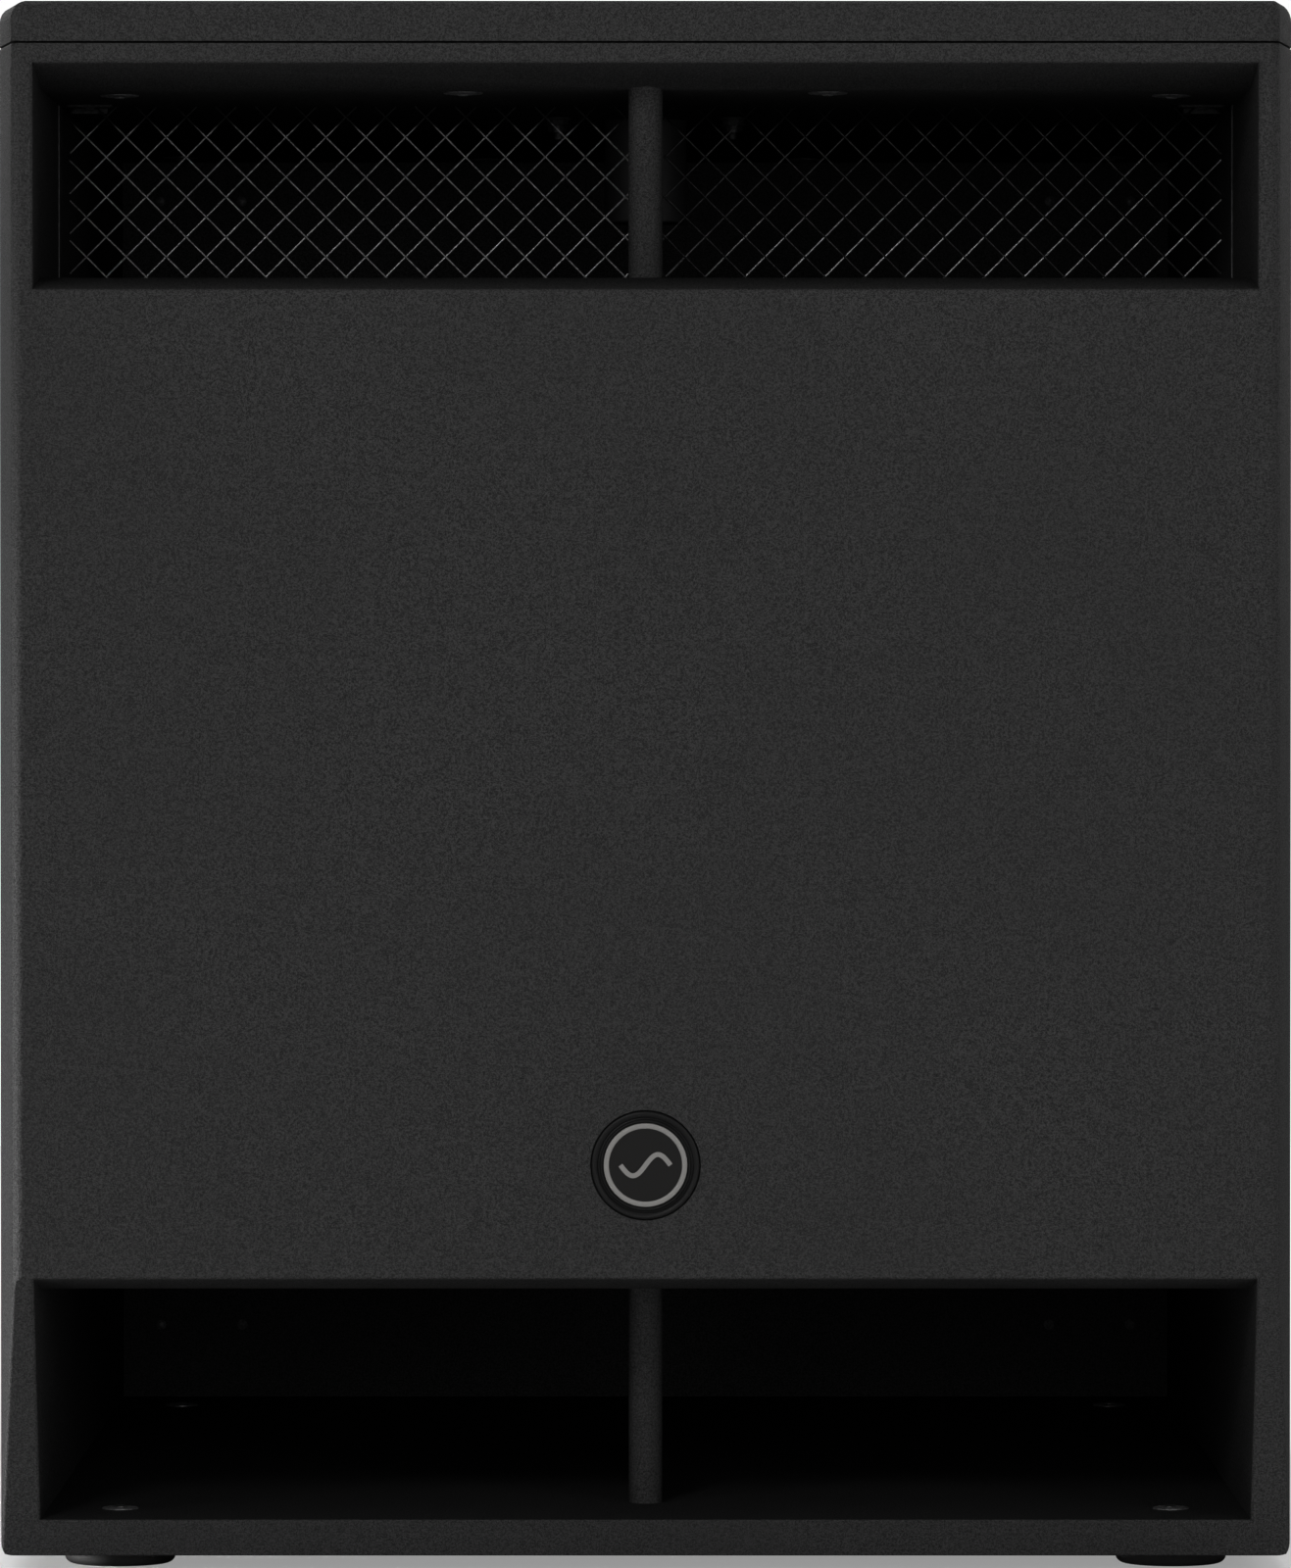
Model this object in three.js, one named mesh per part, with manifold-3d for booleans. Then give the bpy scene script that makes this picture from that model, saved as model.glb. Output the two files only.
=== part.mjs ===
// Powered band-pass subwoofer cabinet, millimetres, +Z up.
// Origin: centre of the footprint on the floor. The front faces -Y, left is -X.
// A "depth" position is the distance behind the front-most plane; yAt() turns it into y.
import * as THREE from 'three';
import { mergeVertices } from 'three/addons/utils/BufferGeometryUtils.js';
import Module from 'manifold-3d';

const wasm = await Module();
wasm.setup();
const { Manifold, Mesh: ManifoldMesh } = wasm;

// ---- driving dimensions -------------------------------------------------
const WIDTH = 563;               // at the sides
const DEPTH = 721;               // front face to heat sink fins
const HEIGHT = 683;              // standing on the feet
const PANEL_T = 18;              // lid, front, rear and driver baffle
const BOARD_T = 15;              // ducts, braces and amplifier bay
const BOTTOM_T = 16.5;
const FOOT = { height: 7, radius: 24.5, x: 232, depths: [92, 635] };

const HALF = WIDTH / 2;
const FRONT_HALF = 273;          // half width at the front-most plane
const CHAMFER_DEPTH = 46.7;      // depth over which the sides taper forward
const INNER_HALF = 264;          // half width between the side panels
const REAR_DEPTH = 707;          // outer face of the rear panel
const REAR_INNER_DEPTH = REAR_DEPTH - PANEL_T;

const BODY_Z = FOOT.height;      // underside of the body
const BOTTOM_TOP_Z = BODY_Z + BOTTOM_T;
const LID_Z = HEIGHT - PANEL_T;  // underside of the lid
const CEILING_Z = 647.5;         // underside of the ceiling board
const CEILING_LIP_DEPTH = 52;    // where the ceiling's front bevel ends

const UPPER_TOP = 656.2;         // upper opening, edges at the front plane
const UPPER_BOTTOM = 558.6;
const LOWER_TOP = 131.4;         // lower opening, top edge at the front plane
const SLOPE_DEPTH = 48;          // the lower front leans back this far
const LIP_DEPTH = 46;            // depth of the bevelled duct lips
const UPPER_SEAM_Z = 561.18;     // lips where they cross the back of the front panel
const LOWER_SEAM_Z = 128.54;
const UPPER_DUCT_Z = 565.2;      // floor of the upper duct
const LOWER_DUCT_Z = 124.1;      // roof of the lower duct

const MESH = { depth: 177, pitch: 25.4, bar: 2.4, halfWidth: 259, gap: 0.6, minOpening: 3 };
const BAFFLE = { angle: THREE.MathUtils.degToRad(25), depth: 305, z: 356 };  // board centre
const CUTOUT_R = 212;            // driver cut-out
const BAY = { depth: 565, top: 575, bottom: 110 };
const AMP = { halfWidth: 150, bottom: 133, top: 553, margin: 12 };
const POLE = { depth: 305, outerR: 19, innerR: 17.6, bottom: 600, flangeR: 58, flangeT: 3 };
const HANDLE = {
  depth: 345,
  z: 500,
  flange: { width: 206, height: 146, radius: 32 },
  cup: { width: 180, height: 118, radius: 26 },
  recess: 55,
  wall: 3,
  barR: 12.5,
  barInset: 15,                  // bar axis behind the side face
  barRise: 16,                   // bar axis above the handle centre
};
const BADGE = { z: 180.6, radius: 23.5, discR: 18.1, recess: 5, holeR: 6 };
const STACK = { radius: 27, depth: 4.5 };   // recesses in the lid, above the feet

const yAt = (depth) => depth - DEPTH / 2;
const FRONT_Y = yAt(0);
const REAR_Y = yAt(REAR_DEPTH);
const SIDES = [[-1, 'left'], [1, 'right']];

// ---- ranges -------------------------------------------------------------
// A range is [low, high] along one axis.
const centred = (half) => [-half, half];
const INNER_SPAN = centred(INNER_HALF);
// Stretches a cutter's range so that it breaks clear of the faces.
const OVERCUT = 5;
const past = ([low, high]) => [low - OVERCUT, high + OVERCUT];
// Mirrors a range of x to the left side when side is -1.
const onSide = (side, low, high) => (side > 0 ? [low, high] : [-high, -low]);

// ---- solids -------------------------------------------------------------
// Welds a geometry into a manifold, turning it right side out if need be.
function toSolid(geometry) {
  let welded = geometry.clone();
  for (const name of Object.keys(welded.attributes)) {
    if (name !== 'position') welded.deleteAttribute(name);
  }
  welded = mergeVertices(welded, 1e-4);
  const positions = welded.attributes.position.array;
  const triangles = [];
  const corners = [new THREE.Vector3(), new THREE.Vector3(), new THREE.Vector3()];
  let volume = 0;
  for (let i = 0; i < welded.index.count; i += 3) {
    const ids = [0, 1, 2].map((k) => welded.index.getX(i + k));
    if (new Set(ids).size < 3) continue;
    triangles.push(...ids);
    corners.forEach((corner, k) => corner.fromArray(positions, ids[k] * 3));
    volume += corners[0].dot(corners[1].cross(corners[2]));
  }
  if (volume < 0) triangles.reverse();
  return new Manifold(new ManifoldMesh({
    numProp: 3,
    vertProperties: new Float32Array(positions),
    triVerts: new Uint32Array(triangles),
  }));
}

function toGeometry(solid) {
  const mesh = solid.getMesh();
  const geometry = new THREE.BufferGeometry();
  const positions = new Float32Array(mesh.vertProperties);
  geometry.setAttribute('position', new THREE.BufferAttribute(positions, 3));
  geometry.setIndex(new THREE.BufferAttribute(new Uint32Array(mesh.triVerts), 1));
  return geometry;
}

const asSolid = (shape) => (shape instanceof Manifold ? shape : toSolid(shape));
const cut = (body, ...cutters) =>
  cutters.reduce((result, cutter) => result.subtract(asSolid(cutter)), asSolid(body));
const join = (first, ...others) =>
  others.reduce((result, other) => result.add(asSolid(other)), asSolid(first));

// ---- shapes -------------------------------------------------------------
const basis = (...axes) =>
  new THREE.Matrix4().makeBasis(...axes.map((axis) => new THREE.Vector3(...axis)));
const ALONG_X = basis([0, 1, 0], [0, 0, 1], [1, 0, 0]);   // outline in (y, z)
const ALONG_Y = basis([1, 0, 0], [0, 0, 1], [0, -1, 0]);  // outline in (x, z)

const vectors = (points) => points.map(([x, y]) => new THREE.Vector2(x, y));

// The outline is a THREE.Shape or a list of points; curveSegments matters only for arcs.
function extrude(outline, [low, high], curveSegments) {
  const shape = outline instanceof THREE.Shape ? outline : new THREE.Shape(vectors(outline));
  const options = { depth: high - low, bevelEnabled: false, curveSegments };
  return new THREE.ExtrudeGeometry(shape, options);
}
const extrudeX = (outline, xs, segments) =>
  extrude(outline, xs, segments).applyMatrix4(ALONG_X).translate(xs[0], 0, 0);
const extrudeY = (outline, ys, segments) =>
  extrude(outline, ys, segments).applyMatrix4(ALONG_Y).translate(0, ys[1], 0);
const extrudeZ = (outline, zs, segments) =>
  extrude(outline, zs, segments).translate(0, 0, zs[0]);

const box = ([x0, x1], [y0, y1], [z0, z1]) =>
  new THREE.BoxGeometry(x1 - x0, y1 - y0, z1 - z0)
    .translate((x0 + x1) / 2, (y0 + y1) / 2, (z0 + z1) / 2);
const blockY = ([width, height], ys, [x, z]) =>
  box([x - width / 2, x + width / 2], ys, [z - height / 2, z + height / 2]);

// Lathes: profile of [radius, position along the axis], number of facets per turn.
const latheZ = (profile, facets) =>
  new THREE.LatheGeometry(vectors(profile), facets).rotateX(Math.PI / 2);
const latheY = (profile, [x, z], facets) =>
  new THREE.LatheGeometry(vectors(profile), facets).translate(x, 0, z);
const disk = (radius, [low, high]) => [[0, low], [radius, low], [radius, high], [0, high]];
const cylinderZ = (radius, zs, [x, y], facets) =>
  latheZ(disk(radius, zs), facets).translate(x, y, 0);
const cylinderY = (radius, ys, at, facets) => latheY(disk(radius, ys), at, facets);
const ringZ = (inner, outer, [low, high], facets) =>
  latheZ([[inner, low], [outer, low], [outer, high], [inner, high], [inner, low]], facets);

function roundRect([x, y], [width, height], radius) {
  const shape = new THREE.Shape();
  const [x0, x1] = [x - width / 2, x + width / 2];
  const [y0, y1] = [y - height / 2, y + height / 2];
  shape.moveTo(x0 + radius, y0);
  shape.lineTo(x1 - radius, y0);
  shape.absarc(x1 - radius, y0 + radius, radius, -Math.PI / 2, 0, false);
  shape.lineTo(x1, y1 - radius);
  shape.absarc(x1 - radius, y1 - radius, radius, 0, Math.PI / 2, false);
  shape.lineTo(x0 + radius, y1);
  shape.absarc(x0 + radius, y1 - radius, radius, Math.PI / 2, Math.PI, false);
  shape.lineTo(x0, y0 + radius);
  shape.absarc(x0 + radius, y0 + radius, radius, Math.PI, 1.5 * Math.PI, false);
  return shape;
}

// ---- materials ----------------------------------------------------------
const standard = (options) => new THREE.MeshStandardMaterial(options);
const finish = {
  coating: standard({ color: 0x2b2b2b, roughness: 0.75 }),
  rubber: standard({ color: 0x161616, roughness: 0.85 }),
  wire: standard({ color: 0x8d8d8d, roughness: 0.4, metalness: 0.9 }),
  steel: standard({ color: 0x9a9a9a, roughness: 0.4, metalness: 0.9 }),
  blackMetal: standard({ color: 0x1c1c1c, roughness: 0.5, metalness: 0.3 }),
  aluminium: standard({ color: 0x6f7173, roughness: 0.45, metalness: 0.9 }),
  plastic: standard({ color: 0x191919, roughness: 0.5 }),
  bezel: standard({ color: 0x1e1e1e, roughness: 0.35 }),
  badge: standard({ color: 0x8c8983, roughness: 0.35, metalness: 0.6 }),
  circuit: standard({ color: 0x1f4a2c, roughness: 0.6 }),
  paper: standard({ color: 0x20201f, roughness: 0.9 }),
  cloth: standard({ color: 0x6b5732, roughness: 0.9 }),
  copper: standard({ color: 0x9c5a34, roughness: 0.4, metalness: 0.8 }),
  ferrite: standard({ color: 0x2e2e30, roughness: 0.7 }),
  gasket: standard({ color: 0x121212, roughness: 0.95 }),
  cable: standard({ color: 0x101010, roughness: 0.6 }),
};

const root = new THREE.Group();
function add(name, shape, material, parent = root) {
  const mesh = new THREE.Mesh(toGeometry(asSolid(shape)), material);
  mesh.name = name;
  parent.add(mesh);
  return mesh;
}

// ---- cabinet panels -----------------------------------------------------
const fromSide = (points) => points.map(([depth, z]) => [yAt(depth), z]);
const fromAbove = (points) => points.map(([x, depth]) => [x, yAt(depth)]);
// Boards between the side panels: from a profile of [depth, z], or from two ranges.
const board = (profile) => extrudeX(fromSide(profile), INNER_SPAN);
const flatBoard = (depths, zs) => box(INNER_SPAN, depths.map(yAt), zs);

const handleOutline = ({ width, height, radius }, grow = 0) =>
  roundRect([yAt(HANDLE.depth), HANDLE.z], [width + 2 * grow, height + 2 * grow], radius + grow);

function sidePanel(side) {
  const plan = [
    [INNER_HALF, 0], [FRONT_HALF, 0], [HALF, CHAMFER_DEPTH], [HALF, REAR_DEPTH],
    [INNER_HALF, REAR_DEPTH],
  ].map(([x, depth]) => [side * x, depth]);
  const profile = [
    [0, LOWER_TOP], [SLOPE_DEPTH, BODY_Z], [REAR_DEPTH, BODY_Z], [REAR_DEPTH, LID_Z], [0, LID_Z],
  ];
  const panel = toSolid(extrudeZ(fromAbove(plan), [0, HEIGHT]))
    .intersect(toSolid(extrudeX(fromSide(profile), centred(WIDTH))));
  const flangeSpan = onSide(side, HALF - HANDLE.wall, HALF + OVERCUT);
  const cupSpan = onSide(side, ...past([INNER_HALF, HALF]));
  return cut(panel,
    extrudeX(handleOutline(HANDLE.flange, 0.3), flangeSpan, 4),
    extrudeX(handleOutline(HANDLE.cup, 0.5), cupSpan, 4));
}
for (const [side, name] of SIDES) add(`${name}_side_panel`, sidePanel(side), finish.coating);

// depth where the leaning lower front meets height z
const slopeDepth = (z) => SLOPE_DEPTH * (LOWER_TOP - z) / (LOWER_TOP - BODY_Z);
add('bottom_panel', board([
  [slopeDepth(BOTTOM_TOP_Z), BOTTOM_TOP_Z], [SLOPE_DEPTH, BODY_Z],
  [REAR_INNER_DEPTH, BODY_Z], [REAR_INNER_DEPTH, BOTTOM_TOP_Z],
]), finish.coating);

const POLE_AT = [0, yAt(POLE.depth)];
const poleHole = cylinderZ(POLE.outerR + 0.6, past([CEILING_Z, HEIGHT]), POLE_AT, 22);
add('ceiling_panel', cut(board([
  [0, UPPER_TOP], [CEILING_LIP_DEPTH, CEILING_Z], [REAR_INNER_DEPTH, CEILING_Z],
  [REAR_INNER_DEPTH, LID_Z], [0, LID_Z],
]), poleHole), finish.coating);

function topLid() {
  const plan = [
    [-FRONT_HALF, 0], [FRONT_HALF, 0], [HALF, CHAMFER_DEPTH], [HALF, REAR_DEPTH],
    [-HALF, REAR_DEPTH], [-HALF, CHAMFER_DEPTH],
  ];
  const recess = (radius, depth, at) =>
    cylinderZ(radius, [HEIGHT - depth, HEIGHT + OVERCUT], at, 22);
  const stackRecesses = SIDES.flatMap(([side]) => FOOT.depths.map((depth) =>
    recess(STACK.radius, STACK.depth, [side * FOOT.x, yAt(depth)])));
  return cut(extrudeZ(fromAbove(plan), [LID_Z, HEIGHT]),
    recess(POLE.flangeR + 0.4, POLE.flangeT + 0.2, POLE_AT),
    poleHole,
    ...stackRecesses);
}
add('top_lid', topLid(), finish.coating);

const BADGE_AT = [0, BADGE.z];
add('front_panel', cut(
  board([[0, LOWER_TOP], [PANEL_T, LOWER_SEAM_Z], [PANEL_T, UPPER_SEAM_Z], [0, UPPER_BOTTOM]]),
  cylinderY(BADGE.radius + 0.3, [FRONT_Y - OVERCUT, yAt(BADGE.recess)], BADGE_AT, 26),
  cylinderY(BADGE.holeR, past([FRONT_Y, yAt(PANEL_T)]), BADGE_AT, 14)), finish.coating);

// Rectangle of the amplifier plate, drawn in by inset on every edge.
const ampBlock = (inset, ys) =>
  box(centred(AMP.halfWidth - inset), ys, [AMP.bottom + inset, AMP.top - inset]);
add('rear_panel', cut(
  flatBoard([REAR_INNER_DEPTH, REAR_DEPTH], [BODY_Z, LID_Z]),
  ampBlock(AMP.margin, past([yAt(REAR_INNER_DEPTH), REAR_Y]))), finish.coating);

// ---- ducts and braces ---------------------------------------------------
const UPPER_DUCT_END = 230;
const LOWER_DUCT_END = 260;
const upperUnderside = UPPER_DUCT_Z - BOARD_T;
const lowerTopside = LOWER_DUCT_Z + BOARD_T;
add('upper_duct_floor', board([
  [PANEL_T, upperUnderside], [UPPER_DUCT_END, upperUnderside], [UPPER_DUCT_END, UPPER_DUCT_Z],
  [LIP_DEPTH, UPPER_DUCT_Z], [PANEL_T, UPPER_SEAM_Z],
]), finish.coating);
add('lower_duct_roof', board([
  [PANEL_T, LOWER_SEAM_Z], [LIP_DEPTH, LOWER_DUCT_Z], [LOWER_DUCT_END, LOWER_DUCT_Z],
  [LOWER_DUCT_END, lowerTopside], [PANEL_T, lowerTopside],
]), finish.coating);

// Upright board on the centre line, with a rounded front edge.
function brace(frontDepth, backDepth, zs) {
  const shape = new THREE.Shape();
  const radius = BOARD_T / 2;
  const arcY = yAt(frontDepth + radius);
  shape.moveTo(radius, arcY);
  shape.lineTo(radius, yAt(backDepth));
  shape.lineTo(-radius, yAt(backDepth));
  shape.lineTo(-radius, arcY);
  shape.absarc(0, arcY, radius, Math.PI, 2 * Math.PI, false);
  return extrudeZ(shape, zs, 8);
}
add('upper_brace', brace(LIP_DEPTH, 170, [UPPER_DUCT_Z, CEILING_Z]), finish.coating);
add('lower_brace', brace(115, 380, [BOTTOM_TOP_Z, LOWER_DUCT_Z]), finish.coating);

// ---- driver baffle and amplifier bay ------------------------------------
// The driver's group: local +Z is the cone axis, origin on the baffle's upper face.
const driver = new THREE.Group();
driver.position.set(
  0,
  yAt(BAFFLE.depth) - Math.sin(BAFFLE.angle) * PANEL_T / 2,
  BAFFLE.z + Math.cos(BAFFLE.angle) * PANEL_T / 2);
driver.rotation.x = BAFFLE.angle;
driver.updateMatrix();
root.add(driver);

function driverBaffle() {
  const centreZ = (depth) => BAFFLE.z + (depth - BAFFLE.depth) * Math.tan(BAFFLE.angle);
  const rise = PANEL_T / 2 / Math.cos(BAFFLE.angle);   // half thickness, measured upright
  const [frontZ, backZ] = [centreZ(PANEL_T), centreZ(BAY.depth)];
  const cutout = cylinderZ(CUTOUT_R, past([-PANEL_T, 0]), [0, 0], 36);
  return cut(board([
    [PANEL_T, frontZ - rise], [BAY.depth, backZ - rise],
    [BAY.depth, backZ + rise], [PANEL_T, frontZ + rise],
  ]), cutout.applyMatrix4(driver.matrix));
}
add('driver_baffle', driverBaffle(), finish.coating);

const bayDepths = [BAY.depth + BOARD_T, REAR_INNER_DEPTH];
for (const [name, depths, zs] of [
  ['wall', [BAY.depth, BAY.depth + BOARD_T], [BAY.bottom, BAY.top]],
  ['roof', bayDepths, [BAY.top - BOARD_T, BAY.top]],
  ['floor', bayDepths, [BAY.bottom, BAY.bottom + BOARD_T]],
]) add(`amp_bay_${name}`, flatBoard(depths, zs), finish.coating);

// ---- wire mesh across the upper duct ------------------------------------
// A framed sheet with square openings standing on their corners.
function portMesh() {
  const [bottom, top] = [UPPER_DUCT_Z + MESH.gap, CEILING_Z - MESH.gap];
  const clipX = MESH.halfWidth - MESH.bar;
  const [clipBottom, clipTop] = [bottom + MESH.bar, top - MESH.bar];
  const spacing = MESH.pitch * Math.SQRT2;                       // along x and z
  const reach = (MESH.pitch - MESH.bar) / 2 * Math.SQRT2;        // half diagonal of an opening
  const through = centred(OVERCUT);
  const bounds = toSolid(box(centred(clipX), through, [clipBottom, clipTop]));
  const openings = [];
  for (let i = -20; i <= 20; i++) {
    for (let j = -6; j <= 6; j++) {
      const x = (i + (Math.abs(j) % 2) / 2) * spacing;
      const z = (bottom + top) / 2 + j * spacing / 2;
      const openWidth = Math.min(clipX, x + reach) - Math.max(-clipX, x - reach);
      const openHeight = Math.min(clipTop, z + reach) - Math.max(clipBottom, z - reach);
      if (Math.min(openWidth, openHeight) < MESH.minOpening) continue;
      const diamond = [[x - reach, z], [x, z - reach], [x + reach, z], [x, z + reach]];
      openings.push(toSolid(extrudeY(diamond, through)).intersect(bounds));
    }
  }
  return cut(box(centred(MESH.halfWidth), centred(MESH.bar / 2), [bottom, top]),
    join(...openings));
}
add('port_mesh', portMesh(), finish.wire).position.set(0, yAt(MESH.depth), 0);

// ---- feet ---------------------------------------------------------------
const FOOT_PROFILE = [   // [radius, z]
  [3.2, 3.4], [10, 3.4], [10, 0], [22.3, 0], [23.9, 1.1], [FOOT.radius, 3.2],
  [24.3, FOOT.height], [3.2, FOOT.height], [3.2, 3.4],
];
for (const [side, sideName] of SIDES) {
  FOOT.depths.forEach((depth, i) => {
    const name = `foot_${i ? 'rear' : 'front'}_${sideName}`;
    const foot = add(name, latheZ(FOOT_PROFILE, 18), finish.rubber);
    foot.position.set(side * FOOT.x, yAt(depth), 0);
  });
}

// ---- pole socket --------------------------------------------------------
const flangeUnderside = HEIGHT - POLE.flangeT;
const SOCKET_PROFILE = [   // [radius, z]
  [10, POLE.bottom], [POLE.outerR, POLE.bottom], [POLE.outerR, flangeUnderside],
  [POLE.flangeR, flangeUnderside], [POLE.flangeR, HEIGHT - 0.1],
  [POLE.innerR + 1, HEIGHT - 0.1], [POLE.innerR, HEIGHT - 1.1],
  [POLE.innerR, POLE.bottom + 12], [10, POLE.bottom + 12], [10, POLE.bottom],
];
add('pole_socket', latheZ(SOCKET_PROFILE, 22), finish.blackMetal).position.set(...POLE_AT, 0);

// ---- side handles -------------------------------------------------------
function handleCup(side) {
  const face = HALF - 0.1;
  const back = HALF - HANDLE.recess;
  const layer = (outline, low, high) => extrudeX(outline, onSide(side, low, high), 4);
  return cut(
    join(layer(handleOutline(HANDLE.flange), HALF - HANDLE.wall, face),
      layer(handleOutline(HANDLE.cup), back, face - 0.5)),
    layer(handleOutline(HANDLE.cup, -HANDLE.wall), back + HANDLE.wall, face + OVERCUT));
}
const barHalf = HANDLE.cup.width / 2 - HANDLE.wall - 0.3;
for (const [side, name] of SIDES) {
  add(`${name}_handle_cup`, handleCup(side), finish.plastic);
  const bar = cylinderY(HANDLE.barR, centred(barHalf), [0, 0], 16);
  add(`${name}_handle_bar`, bar, finish.rubber)
    .position.set(side * (HALF - HANDLE.barInset), yAt(HANDLE.depth), HANDLE.z + HANDLE.barRise);
}

// ---- badge --------------------------------------------------------------
// Profiles of [radius, depth].
const { radius: badgeR, discR } = BADGE;
const badgeBack = BADGE.recess - 0.1;
const BEZEL_PROFILE = [
  [discR + 0.3, badgeBack], [discR + 0.3, 1.2], [discR + 1.2, 0.2], [discR + 2.2, 0.2],
  [discR + 2.5, 0.9], [discR + 3.6, 0.9], [discR + 3.9, 0.3], [badgeR - 0.6, 0.3],
  [badgeR, 0.9], [badgeR, badgeBack], [discR + 0.3, badgeBack],
];
const DISC_PROFILE = [
  [0, 2.2], [15.6, 2.2], [16, 1.2], [discR - 0.2, 1.2], [discR, 1.6],
  [discR, badgeBack], [0, badgeBack],
];
add('badge_bezel', latheY(fromAbove(BEZEL_PROFILE), BADGE_AT, 26), finish.bezel);
add('badge_disc', latheY(fromAbove(DISC_PROFILE), BADGE_AT, 26), finish.badge);

// ---- amplifier plate ----------------------------------------------------
const PLATE_IN = REAR_Y + 1.5;      // inner face, against the gasket
const PLATE_OUT = PLATE_IN + 3;     // outer face
const throughPlate = past([PLATE_IN, PLATE_OUT]);
// Centres of the fittings, [x, z].
const KNOB = [104, 288];
const ROCKER = [-104, 284];
const MAINS = [-104, 226];
const BREAKER = [-104, 174];
const FAN = [-30, 178];
const INPUT_JACKS = [[104, 232], [68, 232]];
const OUTPUT_JACKS = [[32, 232], [-4, 232]];
const SLIDERS = [[62, 288], [24, 288]];
const FAN_SLOTS = { count: 7, pitch: 6.6, height: 3.4, radius: 26 };

add('amp_gasket', cut(
  ampBlock(0, [REAR_Y, PLATE_IN]),
  ampBlock(AMP.margin - 1, past([REAR_Y, PLATE_IN]))), finish.gasket);

function ampPlate() {
  const hole = (radius, at, facets = 14) => cylinderY(radius, throughPlate, at, facets);
  const slot = (size, at) => blockY(size, throughPlate, at);
  const fanSlots = Array.from({ length: FAN_SLOTS.count }, (_, i) => {
    const rise = (i - (FAN_SLOTS.count - 1) / 2) * FAN_SLOTS.pitch;
    const width = 2 * Math.sqrt(FAN_SLOTS.radius ** 2 - rise ** 2);
    return slot([width, FAN_SLOTS.height], [FAN[0], FAN[1] + rise]);
  });
  const outline = roundRect(
    [0, (AMP.bottom + AMP.top) / 2], [2 * AMP.halfWidth, AMP.top - AMP.bottom], 8);
  return cut(extrudeY(outline, [PLATE_IN, PLATE_OUT], 4),
    hole(4.2, KNOB),
    slot([22.4, 28.4], ROCKER),
    hole(12.8, MAINS),
    hole(5.2, BREAKER, 12),
    ...[...INPUT_JACKS, ...OUTPUT_JACKS].map((at) => hole(12.2, at)),
    ...SLIDERS.map((at) => slot([11, 4.6], at)),
    ...fanSlots);
}
add('amp_plate', ampPlate(), finish.blackMetal);

// A base with upright fins: the outer two are straight, the others taper to their tips.
function heatSink() {
  const [count, half, rootHalf, tipHalf] = [25, 130, 1.2, 0.9];
  const baseY = PLATE_OUT + 3;
  const tipY = DEPTH / 2;
  const inner = half - 2 * rootHalf;
  const outline = [
    [-half, PLATE_OUT], [half, PLATE_OUT], [half, tipY], [inner, tipY], [inner, baseY],
  ];
  for (let i = count - 2; i > 0; i--) {
    const x = -half + rootHalf + i * 2 * (half - rootHalf) / (count - 1);
    outline.push([x + rootHalf, baseY], [x + tipHalf, tipY]);
    outline.push([x - tipHalf, tipY], [x - rootHalf, baseY]);
  }
  outline.push([-inner, baseY], [-inner, tipY], [-half, tipY]);
  return extrudeZ(outline, [326, 538]);
}
add('heat_sink', heatSink(), finish.aluminium);

// ---- boards inside the bay ----------------------------------------------
// Each is a thin upright board with the blocks and cylinders that stand on it.
const ampBlocks = [[-105, -60], [60, 105]].flatMap((xs) =>
  [[350, 380], [400, 430]].map((zs) => box(xs, [290, 323], zs)));
add('amp_board', join(
  box(centred(118), [322, 324], [336, 532]),
  ...ampBlocks,
  box(centred(110), [323, PLATE_IN - 12], [470, 500]),
  ...[365, 415].map((z) => cylinderY(17, [277, 323], [0, z], 14))), finish.circuit);
add('supply_board', join(
  box([-128, -70], [290, 292], [140, 320]),
  box([-120, -80], [240, 291], [250, 300]),
  ...[220, 180].map((z) => cylinderY(14, [239, 291], [-98, z], 14))), finish.circuit);
add('input_board', join(
  box([-18, 128], [320, 322], [212, 308]),
  ...SLIDERS.map((at) => blockY([20, 12], [321, PLATE_IN - 0.5], at)),
  box([20, 50], [310, 321], [240, 262])), finish.circuit);

// ---- controls -----------------------------------------------------------
add('level_pot', cut(
  cylinderY(9, [PLATE_IN - 14, PLATE_IN], KNOB, 14),
  cylinderY(3.4, [PLATE_IN - 10, PLATE_IN + OVERCUT], KNOB, 14)), finish.steel);
const KNOB_PROFILE = [   // [radius, distance out from the plate]
  [0, 0.6], [11, 0.6], [10.2, 8.8], [9.4, 9.3], [0, 9.3],
].map(([radius, out]) => [radius, PLATE_OUT + out]);
add('level_knob', join(
  cylinderY(3, [PLATE_IN - 8, PLATE_OUT + 3], KNOB, 12),
  latheY(KNOB_PROFILE, KNOB, 16)), finish.plastic);

// Each slider stands off-centre in its slot.
['polarity_slider', 'filter_slider'].forEach((name, i) => {
  const [x, z] = SLIDERS[i];
  const slider = blockY([4, 3.8], [PLATE_IN - 0.2, PLATE_OUT + 2.2], [x - 2.9, z]);
  add(name, slider, finish.plastic);
});

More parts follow.
